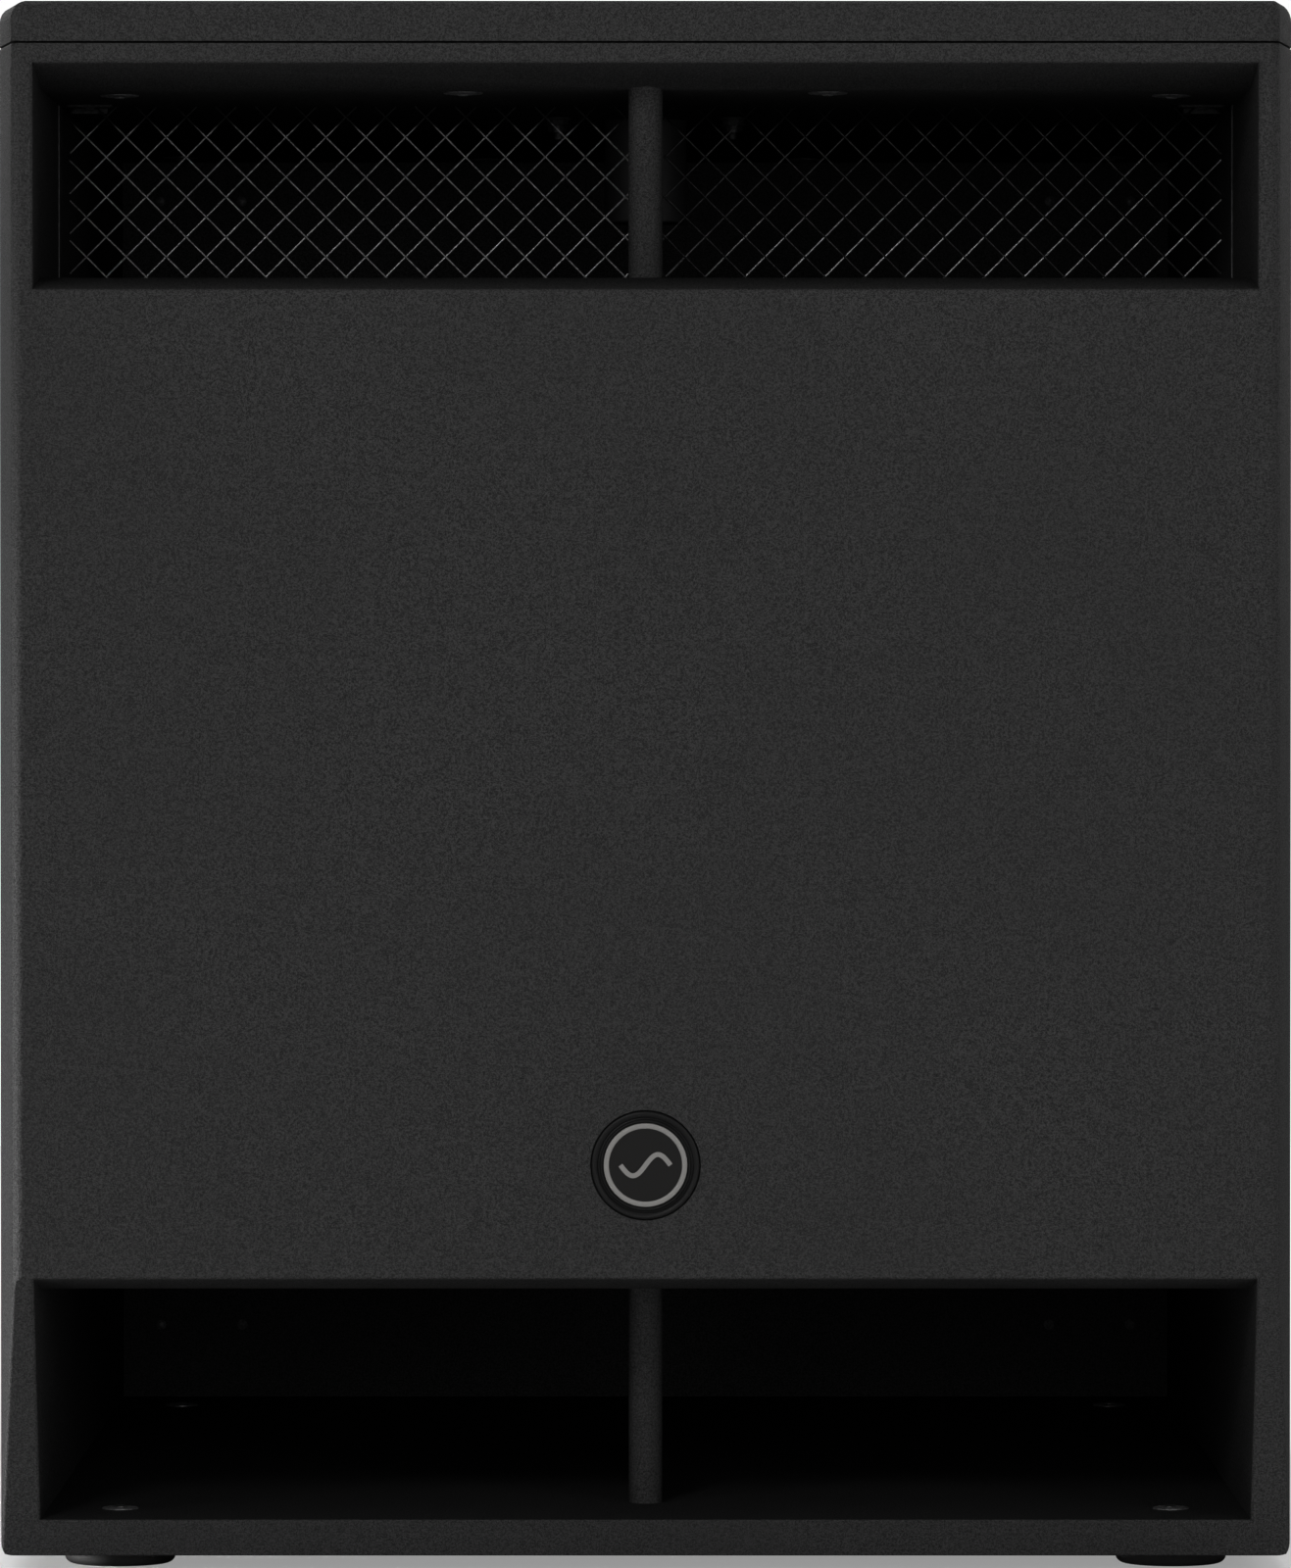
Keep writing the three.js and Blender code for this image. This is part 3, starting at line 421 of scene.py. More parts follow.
def rounded(profile, radii, steps=4, closed=True):
    """Rounds the corners of a polyline. radii: one value or one per point."""
    points = [Vector(point) for point in profile]
    count = len(points)
    if not isinstance(radii, (list, tuple)):
        radii = [radii] * count
    outline = []
    for i, (corner, radius) in enumerate(zip(points, radii)):
        before, after = points[i - 1] - corner, points[(i + 1) % count] - corner
        sharp = (not closed and i in (0, count - 1)) or radius <= 0
        sharp = sharp or before.length < 1e-9 or after.length < 1e-9
        if not sharp:
            angle = math.acos(max(-1, min(1, before.normalized().dot(after.normalized()))))
            sharp = angle > math.radians(176)
        if sharp:
            outline.append(tuple(corner))
            continue
        trim = min(radius / math.tan(angle / 2), before.length * 0.49, after.length * 0.49)
        fitted = trim * math.tan(angle / 2)
        bisector = (before.normalized() + after.normalized()).normalized()
        centre = corner + bisector * (fitted / math.sin(angle / 2))
        start = corner + before.normalized() * trim - centre
        end = corner + after.normalized() * trim - centre
        first = math.atan2(start.y, start.x)
        sweep = (math.atan2(end.y, end.x) - first + math.pi) % (2 * math.pi) - math.pi
        for k in range(steps + 1):
            turn = first + sweep * k / steps
            outline.append((centre.x + fitted * math.cos(turn),
                            centre.y + fitted * math.sin(turn)))
    return outline


def rounded_ring(profile, radii, steps):
    """A rounded closed profile that ends on its first point, for turning."""
    outline = rounded(profile, radii, steps)
    return outline + outline[:1]


def round_rect(x, y, width, height, radius, steps=6):
    left, right, low, high = x - width / 2, x + width / 2, y - height / 2, y + height / 2
    return rounded([(left, low), (right, low), (right, high), (left, high)], radius, steps)


def circle(x, y, radius, count):
    angles = [2 * math.pi * k / count for k in range(count)]
    return [(x + radius * math.cos(turn), y + radius * math.sin(turn)) for turn in angles]


def rod(radius, start, end):
    """Turning profile of a plain cylinder."""
    return [(0, start), (radius, start), (radius, end), (0, end)]


def span(side, first, second):
    """Two distances from the middle as ordered x values on one side."""
    return sorted((side * first, side * second))


def placed(point, height, axis):
    """A point of a flat outline, lifted by height along the axis."""
    place = list(point)
    place.insert("XYZ".index(axis), height)
    return Vector(place)


# ---------------------------------------------------------------- forms and solids


class Form:
    """A shape drawn in millimetres; each drawing step returns the form itself.
    `material` is the index of the material slot its faces take."""

    def __init__(self):
        self.mesh = bmesh.new()

    def skin(self, corner_sets, material):
        faces = []
        for corners in corner_sets:
            face = self.mesh.faces.new(corners)
            face.material_index = material
            faces.append(face)
        bmesh.ops.recalc_face_normals(self.mesh, faces=faces)
        return self

    def lathe(self, profile, segments=64, origin=(0, 0, 0), axis="Z", material=0):
        """Turned form: profile is [(radius, height), ...]; radius 0 closes on the axis.
        A profile whose ends meet closes on itself."""
        closed = (Vector(profile[0]) - Vector(profile[-1])).length < 1e-9
        centre = Vector(origin)
        rings = []
        for radius, height in profile[:-1] if closed else profile:
            ring = []
            for k in range(segments if radius >= 1e-6 else 1):
                turn = 2 * math.pi * k / segments
                x, y = radius * math.cos(turn), radius * math.sin(turn)
                if radius < 1e-6:
                    x = y = 0
                spot = (x, y) if axis == "Z" else (y, x)
                ring.append(self.mesh.verts.new(centre + placed(spot, height, axis)))
            rings.append(ring)
        pairs = list(zip(rings, rings[1:]))
        if closed:
            pairs.append((rings[-1], rings[0]))
        quads = []
        for low, high in pairs:
            for k in range(segments):
                k2 = (k + 1) % segments
                corners = (low[k % len(low)], high[k % len(high)],
                           high[k2 % len(high)], low[k2 % len(low)])
                # a ring of one vertex, on the axis, leaves a triangle
                quads.append(tuple(dict.fromkeys(corners)))
        return self.skin(quads, material)

    def loft(self, first, second, material=0):
        """A capped skin between two outlines of equally many points."""
        low = [self.mesh.verts.new(point) for point in first]
        high = [self.mesh.verts.new(point) for point in second]
        count = len(low)
        sides = [(low[k], low[(k + 1) % count], high[(k + 1) % count], high[k])
                 for k in range(count)]
        return self.skin([low, high] + sides, material)

    def prism(self, outline, start, end, axis, material=0):
        """Extrudes an outline. It is (y, z) along X, (x, z) along Y and (x, y) along Z."""
        return self.loft([placed(point, start, axis) for point in outline],
                         [placed(point, end, axis) for point in outline], material)

    def bevel(self, width, segments, angle):
        self.mesh.normal_update()
        edges = [edge for edge in self.mesh.edges if len(edge.link_faces) == 2
                 and edge.calc_face_angle(0) > math.radians(angle)]
        bmesh.ops.bevel(self.mesh, geom=edges, offset=width, offset_type="OFFSET",
                        segments=segments, profile=0.5, affect="EDGES", clamp_overlap=True)
        return self

    def paint(self, material, chosen):
        """Gives a material slot to the faces whose centre is chosen."""
        for face in self.mesh.faces:
            if chosen(face.calc_center_median()):
                face.material_index = material
        return self

    def to_object(self, name):
        self.mesh.normal_update()
        data = bpy.data.meshes.new(name)
        self.mesh.to_mesh(data)
        self.mesh.free()
        thing = bpy.data.objects.new(name, data)
        SCENE.collection.objects.link(thing)
        return thing

    def solid(self):
        """A working object for booleans, still in millimetres."""
        return self.to_object("tmp")

    def add(self, name, materials, slot, replaces=(), body="cabinet", smooth=38,
            transform=Matrix()):
        """Finishes the form as a piece, in metres, riding on a body."""
        self.mesh.transform(transform)
        bmesh.ops.scale(self.mesh, vec=(0.001, 0.001, 0.001), verts=self.mesh.verts)
        thing = self.to_object(name)
        shade(thing, smooth)
        register(thing, materials, replaces, body)


def register(thing, materials, replaces, body="cabinet"):
    for name in [materials] if isinstance(materials, str) else materials:
        thing.data.materials.append(MATERIALS[name])
    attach(thing, body)
    if replaces:
        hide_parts(*replaces)


def shade(thing, angle):
    """Smooth shading with sharp edges above the angle."""
    data = thing.data
    data.polygons.foreach_set("use_smooth", [True] * len(data.polygons))
    mesh = bmesh.new()
    mesh.from_mesh(data)
    for edge in mesh.edges:
        edge.smooth = (len(edge.link_faces) == 2
                       and edge.calc_face_angle(0) <= math.radians(angle))
    mesh.to_mesh(data)
    mesh.free()


def modifier(thing, name, kind, **settings):
    added = thing.modifiers.new(name, kind)
    for key, value in settings.items():
        setattr(added, key, value)


def apply_modifiers(thing):
    bpy.context.view_layer.update()
    graph = bpy.context.evaluated_depsgraph_get()
    result = bpy.data.meshes.new_from_object(thing.evaluated_get(graph))
    thing.modifiers.clear()
    old = thing.data
    thing.data = result
    bpy.data.meshes.remove(old)


def boolean(solid, forms, operation):
    for form in forms:
        other = form.solid()
        modifier(solid, "boolean", "BOOLEAN", operation=operation, solver="EXACT", object=other)
        apply_modifiers(solid)
        bpy.data.objects.remove(other)


def cut(solid, *forms):
    boolean(solid, forms, "DIFFERENCE")


def join(solid, *forms):
    boolean(solid, forms, "UNION")


def weighted_bevel(solid, radius_of, segments=4, biggest=8.0):
    """Bevels each edge by radius_of(middle, direction, convex), in mm, 0 for none.
    The new faces take material slot 1."""
    data = solid.data
    mesh = bmesh.new()
    mesh.from_mesh(data)
    bmesh.ops.remove_doubles(mesh, verts=mesh.verts, dist=0.002)
    bmesh.ops.dissolve_limit(mesh, angle_limit=math.radians(0.3), verts=mesh.verts,
                             edges=mesh.edges)
    bmesh.ops.dissolve_degenerate(mesh, dist=0.001, edges=mesh.edges)
    weight = mesh.edges.layers.float.new("bevel_weight_edge")
    mesh.normal_update()
    for edge in mesh.edges:
        edge[weight] = 0.0
        if len(edge.link_faces) != 2:
            continue
        angle = edge.calc_face_angle_signed(0)
        if abs(angle) < math.radians(18):
            continue
        start, end = (vert.co for vert in edge.verts)
        radius = radius_of((start + end) / 2, (end - start).normalized(), angle > 0)
        edge[weight] = max(0.0, min(1.0, radius / biggest))
    mesh.to_mesh(data)
    mesh.free()
    modifier(solid, "bevel", "BEVEL", width=biggest, offset_type="OFFSET", limit_method="WEIGHT",
             segments=segments, profile=0.5, use_clamp_overlap=False, miter_outer="MITER_SHARP",
             loop_slide=True, material=1)
    while len(data.materials) < 2:
        data.materials.append(None)
    data.polygons.foreach_set("material_index", [0] * len(data.polygons))
    apply_modifiers(solid)


def mean_normal(faces, guide, alike, least_area=0.0):
    """Area-weighted normal of the faces that point much as the guide does."""
    total = Vector((0, 0, 0))
    for face in faces:
        if face.normal.dot(guide.normal) > alike:
            total += face.normal * max(face.calc_area(), least_area)
    return total.normalized() if total.length > 0 else guide.normal.copy()


def harden(thing):
    """Flat faces stay flat, apart from shallow facets such as turned holes; the rounded edges
    between them (slot 1) blend from one to the next."""
    data = thing.data
    mesh = bmesh.new()
    mesh.from_mesh(data)
    mesh.normal_update()
    normals = []
    for face in mesh.faces:
        face.smooth = True
        for loop in face.loops:
            around = loop.vert.link_faces
            flats = [near for near in around if near.material_index == 0]
            guide = face
            if face.material_index != 0:
                guide = max(flats, key=lambda near: near.normal.dot(face.normal), default=None)
                if guide is not None and guide.normal.dot(face.normal) <= 0.1:
                    guide = None
            if guide is not None:
                normals.append(mean_normal(flats, guide, alike=0.86))
            else:
                normals.append(mean_normal(around, face, alike=0.5, least_area=1e-6))
    for face in mesh.faces:
        face.material_index = 0
    mesh.to_mesh(data)
    mesh.free()
    data.normals_split_custom_set([tuple(normal) for normal in normals])


def finish(solid, name, material, replaces=(), transform=Matrix()):
    """Turns a boolean result in millimetres into a piece in metres."""
    solid.data.transform(transform)
    solid.data.transform(Matrix.Scale(0.001, 4))
    solid.name = name
    solid.data.name = name
    harden(solid)
    solid.data.materials.clear()
    register(solid, material, replaces)


def aimed(centre, axis):
    """Carries local +Z onto the axis, at the centre."""
    turn = Vector((0, 0, 1)).rotation_difference(Vector(axis)).to_matrix().to_4x4()
    return Matrix.Translation(Vector(centre)) @ turn


def on_plate(spot, y=PLATE_FACE):
    """At (x, z) on the rear plate: local +Z points to +Y, local +Y up and local +X to -X."""
    return Matrix(((-1, 0, 0, spot[0]), (0, 0, 1, y), (0, 1, 0, spot[1]), (0, 0, 0, 1)))


def screw(name, place, radius, height):
    """Pan head with a hexagon socket, its top at z = height, one closed surface."""
    form = Form()
    segments = 36
    hexagon = radius * 0.42
    depth = min(radius * 0.5, height * 0.75)
    profile = rounded([(0, 0), (radius, 0), (radius, height * 0.55), (radius * 0.62, height),
                       (radius * 0.52, height)],
                      [0, 0.1, radius * 0.25, radius * 0.15, 0], 4, closed=False)
    # (radius, height, whether the ring is a hexagon)
    stations = [(size, z, False) for size, z in profile if size > 1e-6]
    stations += [(hexagon * 1.06, height, True), (hexagon, height - 0.05 * radius, True),
                 (hexagon * 0.97, height - depth, True)]
    rings = []
    for size, z, is_hexagon in stations:
        ring = []
        for k in range(segments):
            turn = 2 * math.pi * k / segments
            reach = size
            if is_hexagon:
                reach *= math.cos(math.pi / 6) / math.cos(turn % (math.pi / 3) - math.pi / 6)
            ring.append(form.mesh.verts.new((reach * math.cos(turn), reach * math.sin(turn), z)))
        rings.append(ring)
    base = form.mesh.verts.new((0, 0, 0))
    pit = form.mesh.verts.new((0, 0, height - depth - 0.04 * radius))
    for k in range(segments):
        k2 = (k + 1) % segments
        form.mesh.faces.new((base, rings[0][k2], rings[0][k]))
        form.mesh.faces.new((pit, rings[-1][k], rings[-1][k2]))
        for low, high in zip(rings, rings[1:]):
            form.mesh.faces.new((low[k], low[k2], high[k2], high[k]))
    form.add(name, "dark_steel", "plated_steel", transform=place)


# ---------------------------------------------------------------- cabinet


def handle_openings():
    """Cutters for the flange and the well of both handles."""
    forms = []
    length, height = HANDLE_SIZE
    for _, side in SIDES:
        flange = round_rect(HANDLE_Y, HANDLE_Z, length + 0.6, height + 0.6, WELL_RADIUS + 6.3, 8)
        well = round_rect(HANDLE_Y, HANDLE_Z, WELL_LENGTH + 1, WELL_HEIGHT + 1,
                          WELL_RADIUS + 0.5, 8)
        forms.append(Form().prism(flange, *span(side, HALF - HANDLE_FLANGE, HALF + 6), "X"))
        forms.append(Form().prism(well, *span(side, INNER - 6, HALF + 6), "X"))
    return forms


def brace(start, end, low, high):
    """Upright board on the middle plane with a half-round front edge; start and end are
    distances behind the front plane."""
    radius = 7.5
    turns = [math.pi * k / 12 for k in range(13)]
    outline = [(radius, back(end)), (-radius, back(end))]
    outline += [(-radius * math.cos(turn), back(start + radius) - radius * math.sin(turn))
                for turn in turns]
    return Form().prism(outline, low, high, "Z")


def shell_radius(middle, direction, convex):
    x, y, z = abs(middle.x), middle.y, middle.z
    on_side = abs(x - HALF) < 0.6
    if not convex:
        return 0
    if on_side and z < BOTTOM + 1:
        return 5.5
    if on_side and y > REAR - 1:
        return 4.0
    if y > REAR - 1 and z < BOTTOM + 1:
        return 3.0
    if z > LID_UNDER - 1:
        return 0.25
    if abs(x - FRONT_HALF) < 0.6 and y < FRONT + 1 and abs(direction.z) > 0.5:
        return 4.6
    if abs(direction.y) < 0.999 and INNER - 1 < x < INNER + 1 and y < back(60):
        return 2.8
    if on_side and back(150) < y < back(520) and z > 380:   # handle openings
        return 0.5
    if x < BADGE_RADIUS + 2 and y < FRONT + 8 and abs(z - BADGE_Z) < BADGE_RADIUS + 2:
        return 0.45
    if abs(y - FRONT) < 1 and x < INNER + 0.5:
        return 1.3
    if x > FRONT_HALF - 2:
        return 1.5
    if z < BOTTOM + 1:
        return 0.9
    if x < 60 and z > CEILING - 2:
        return 0.4
    return 1.0


def build_shell():
    shell = Form().prism(PLAN, BOTTOM, LID_UNDER - JOINT_HALF, "Z").solid()
    slope = [(FRONT - 40, LOWER_PORT_TOP), (FRONT, LOWER_PORT_TOP), (back(SLOPE_DEPTH), BOTTOM),
             (back(SLOPE_DEPTH) + 1.95, BOTTOM - 5), (FRONT - 40, BOTTOM - 5)]
    hollow = [(FRONT - 40, UPPER_PORT_TOP), (FRONT, UPPER_PORT_TOP), (back(52), CEILING),
              (REAR_INNER, CEILING), (REAR_INNER, FLOOR_TOP), (FRONT - 40, FLOOR_TOP)]
    amp_opening = round_rect(0, (PLATE_LOW + PLATE_HIGH) / 2, 2 * (PLATE_HALF - PLATE_LAP),
                             PLATE_HIGH - PLATE_LOW - 2 * PLATE_LAP, 6, 4)
    cut(shell,
        Form().prism(slope, -300, 300, "X"),
        Form().prism(hollow, -INNER, INNER, "X"),
        Form().prism(amp_opening, REAR_INNER - 5, REAR + 5, "Y"),
        Form().lathe(rod(POLE_CLEARANCE, CEILING - 5, LID_UNDER + 5), 64, (0, POLE_Y, 0)),
        *handle_openings())
    # front board with the lips of both ducts, one bent (y, z) profile
    front = [(FRONT, LOWER_PORT_TOP), (back(LIP_DEPTH), LOWER_DUCT_ROOF),
             (back(260), LOWER_DUCT_ROOF), (back(260), 139.1), (back(18), 139.1),
             (back(18), 550.2), (back(230), 550.2), (back(230), UPPER_DUCT_FLOOR),
             (back(LIP_DEPTH), UPPER_DUCT_FLOOR), (FRONT, UPPER_PORT_BOTTOM)]
    join(shell,
         Form().prism(front, -INNER - 2, INNER + 2, "X"),
         brace(LIP_DEPTH, 170, UPPER_DUCT_FLOOR - 4, CEILING + 4),
         brace(115, 380, FLOOR_TOP - 4, LOWER_DUCT_ROOF + 4))
    # badge recess and a narrower bore behind it
    badge = (0, 0, BADGE_Z)
    cut(shell,
        Form().lathe(rod(BADGE_RADIUS + 0.3, FRONT - 5, FRONT + 5), 96, badge, "Y"),
        Form().lathe(rod(6, FRONT - 5, FRONT + 30), 32, badge, "Y"))
    weighted_bevel(shell, shell_radius, segments=3)
    finish(shell, "cabinet_shell", "coating", (
        "left_side_panel", "right_side_panel", "bottom_panel", "ceiling_panel", "front_panel",
        "rear_panel", "upper_duct_floor", "lower_duct_roof", "upper_brace", "lower_brace"))


def lid_radius(middle, direction, convex):
    x, y, z = abs(middle.x), middle.y, middle.z
    if not convex:
        return 0
    if z < LID_UNDER + 1.5 and abs(direction.z) < 0.5:
        return 0.25
    if z > TOP - 1:
        at_side = abs(x - HALF) < 0.6 or x > FRONT_HALF - 0.5
        if x > 250 and at_side and abs(direction.z) < 0.1 and abs(direction.y) > 0.5:
            return 7.5
        if y < FRONT + 1:
            return 1.8
        if y > REAR - 1:
            return 5.0
        return 1.2
    if abs(x - HALF) < 0.6 and y > REAR - 1:
        return 4.0
    if y < FRONT + 1:
        return 4.6
    return 0.8


def build_lid():
    lid = Form().prism(PLAN, LID_UNDER + JOINT_HALF, TOP, "Z").solid()
    cut(lid,
        Form().lathe(rod(POLE_FLANGE + 0.4, TOP - POLE_FLANGE_THICK - 0.2, TOP + 5), 96,
                     (0, POLE_Y, 0)),
        Form().lathe(rod(POLE_CLEARANCE, LID_UNDER - 5, TOP + 5), 64, (0, POLE_Y, 0)))
    # a round recess above each foot
    recess = [(0, TOP - 4.5), (25.2, TOP - 4.5), (27, TOP - 3.2), (27, TOP + 5), (0, TOP + 5)]
    for side, distance in product((-1, 1), (FOOT_FRONT, FOOT_REAR)):
        cut(lid, Form().lathe(recess, 72, (side * FOOT_X, back(distance), 0)))
    weighted_bevel(lid, lid_radius, segments=5)
    finish(lid, "lid_board", "coating", ("top_lid",))


# ---------------------------------------------------------------- wire mesh of the upper port


def mesh_lines(family):
    """Yields (number, low end, high end), in (x, z), of one family's wires, trimmed at the
    sides. The family's sign is the wires' slope."""
    pitch = 17.96                               # between crossings along x and z
    half_width, low, high = 259.0, 566.0, 647.0
    crossing_x, crossing_z = -242.6, 570.5      # one of the crossings
    first = int((-2 * half_width) // pitch) - 8
    for k in range(first, -first + 10):
        x = crossing_x + k * pitch
        start = Vector((x + family * (low - crossing_z), low))
        end = Vector((x + family * (high - crossing_z), high))
        run = end - start
        enter, leave = 0.0, 1.0
        for sign in (1, -1):
            inside_start = sign * start.x + half_width
            inside_end = sign * end.x + half_width
            if inside_start < 0 and inside_end < 0:
                enter, leave = 1.0, 0.0
            elif inside_start < 0:
                enter = max(enter, inside_start / (inside_start - inside_end))
            elif inside_end < 0:
                leave = min(leave, inside_start / (inside_start - inside_end))
        if leave - enter >= 0.02:
            yield k, start + run * enter, start + run * leave


def build_mesh_wires():
    """Square mesh at 45 degrees: two families of wire, one behind the other, that touch
    at the crossings."""
    radius, sides = 0.49, 10
    across = Vector((0, 1, 0))
    form = Form()
    mesh = form.mesh
    for family in (1, -1):
        y = PORT_MESH_Y + family * radius * 0.86
        for k, start, end in mesh_lines(family):
            steps = max(2, int((end - start).length / 6))
            up = Vector((end.x - start.x, 0, end.y - start.y)).normalized()
            up = up.cross(across).normalized()
            rings = []
            for i in range(steps + 1):
                part = i / steps
                centre = Vector((start.x + (end.x - start.x) * part, y,
                                 start.y + (end.y - start.y) * part))
                # drawn wire is never quite straight
                centre += up * (0.05 * math.sin(k * 1.7 + part * 9))
                centre += across * (0.04 * math.sin(k * 2.3 + part * 7))
                turns = [2 * math.pi * j / sides for j in range(sides)]
                rings.append([mesh.verts.new(
                    centre + (across * math.cos(turn) + up * math.sin(turn)) * radius)
                    for turn in turns])
            for low, high in zip(rings, rings[1:]):
                for j in range(sides):
                    j2 = (j + 1) % sides
                    face = mesh.faces.new((low[j], low[j2], high[j2], high[j]))
                    face.material_index = int(family < 0)
            mesh.faces.new(list(reversed(rings[0])))
            mesh.faces.new(rings[-1])
    bmesh.ops.recalc_face_normals(mesh, faces=mesh.faces)
    form.add("mesh_wires", ["mesh_wire", "mesh_wire_b"], "mesh_wire", ("port_mesh",), smooth=50)


def build_mesh_mounts():
    """A thin clip at each upper corner, and two strips on each side wall, one before and one
    behind the sheet."""
    y = PORT_MESH_Y
    for number, side in ((1, -1), (2, 1)):
        x = side * 250
        tongue = [(y + 1.4, CEILING - 0.05), (y + 2.6, CEILING - 0.05),
                  (y + 2.6, CEILING - 3.6), (y + 1.4, CEILING - 3.6)]
        head = [(0, CEILING - 2.6), (1.6, CEILING - 2.5), (2.6, CEILING - 1.9),
                (2.9, CEILING - 1.1), (0, CEILING - 1.1)]
        clip = Form().prism(round_rect(x, y - 4.5, 21, 11, 2.5, 4),
                            CEILING - 1.2, CEILING - 0.05, "Z")
        clip.prism(tongue, x - 8, x + 8, "X").lathe(head, 24, (x, y - 5, 0))
        clip.bevel(0.2, 2, 40).add(f"mesh_clip_{number}", "coating", "plated_steel")
        strip = Form()
        for centre, length in ((y - 3.0, 2.0), (y + 5.0, 12.0)):
            strip.prism(round_rect(side * (INNER - 0.275), centre, 0.95, length, 0.35, 3),
                        UPPER_DUCT_FLOOR - 0.2, CEILING + 0.2, "Z")
        strip.add(f"mesh_strip_{number}", "strip_steel", "mesh_wire")


# ---------------------------------------------------------------- feet and board hardware


def build_feet():
    foot = rounded_ring([(3.3, 3.4), (9.6, 3.4), (9.6, 0.0), (24.3, 0.0), (24.6, BOTTOM),
                         (3.3, BOTTOM)], [0, 0.6, 0.8, 5.2, 0.5, 0], 8)
    bolt = [(0, 1.4), (1.6, 1.4), (1.9, 1.0), (4.6, 0.9), (6.2, 2.0), (6.6, 3.35), (3.1, 3.38),
            (3.1, BOTTOM + 10), (0, BOTTOM + 10)]
    ends = (("front", FOOT_FRONT), ("rear", FOOT_REAR))
    for (side_name, side), (end, distance) in product(SIDES, ends):
        place = (side * FOOT_X, back(distance), 0)
        Form().lathe(foot, 72, place).add(
            f"rubber_foot_{end}_{side_name}", "foot_rubber", "foot_rubber",
            (f"foot_{end}_{side_name}",), smooth=50)
        Form().lathe(bolt, 32, place).add(
            f"foot_screw_{end}_{side_name}", "plated_steel", "plated_steel")


def flanged_nut(name, centre, axis, radius=8.6, materials=("tnut_zinc", "tnut_zinc")):
    """A flanged nut with the end of its bolt; axis points out of the board."""
    form = Form().lathe([(0, 0.4), (3.0, 0.4), (3.6, 0.9), (4.4, 1.0), (5.0, 0.75),
                         (radius - 0.5, 0.62), (radius, 0.35), (radius, -0.2), (0, -0.2)], 40)
    # three pressed bumps
    for k in range(3):
        turn = k * 2 * math.pi / 3 + 0.4
        form.lathe([(0, 0.95), (0.7, 0.85), (0.9, 0.5), (0, 0.45)], 12,
                   ((radius - 2.2) * math.cos(turn), (radius - 2.2) * math.sin(turn), 0))
    form.lathe([(0, 1.4), (1.9, 1.4), (2.5, 1.0), (2.5, 0.0), (0, 0.0)], 24, material=1)
    form.add(name, materials, "plated_steel", transform=aimed(centre, axis))


def build_board_hardware():
    # (x, distance behind the front plane), under the ceiling board
    lid_nuts = [(-232, 96), (-80, 75), (80, 75), (232, 96),
                (-232, 635), (-80, 655), (80, 655), (232, 635)]
    for i, (x, distance) in enumerate(lid_nuts, 1):
        # the bolt ends take the lighter zinc copy, a painted highlight
        flanged_nut(f"lid_tnut_{i}", (x, back(distance), CEILING - 0.05), (0, 0, -1),
                    materials=("tnut_zinc", "tnut_zinc_lit"))
    # in the rear board: a nut inside and a threaded insert outside
    insert = [(0, -4.5), (2.9, -4.5), (2.9, 0.5), (3.3, 0.95), (5.4, 1.15), (7.2, 0.9),
              (7.6, 0.3), (7.6, -0.2), (0, -0.2)]
    rear_spots = product((628, 555, 60, 133), (-1, 1), (204, 245))
    for i, (z, side, x) in enumerate(rear_spots, 1):
        flanged_nut(f"caster_tnut_{i}", (side * x, REAR_INNER - 0.05, z), (0, -1, 0), radius=7.0,
                    materials=("coating", "tnut_zinc"))
        Form().lathe(insert, 40).add(f"caster_insert_{i}", "dark_steel", "plated_steel",
                                     transform=aimed((side * x, REAR, z), (0, 1, 0)))
    # where the foot screws come through the floor board
    for i, (distance, side) in enumerate(product((FOOT_FRONT, FOOT_REAR), (-1, 1)), 1):
        # the nuts take the lighter zinc copy, a painted highlight
        flanged_nut(f"foot_tnut_{i}", (side * FOOT_X, back(distance), FLOOR_TOP + 0.05),
                    (0, 0, 1), radius=8.0, materials=("tnut_zinc_lit", "plated_steel"))


# ---------------------------------------------------------------- pole socket


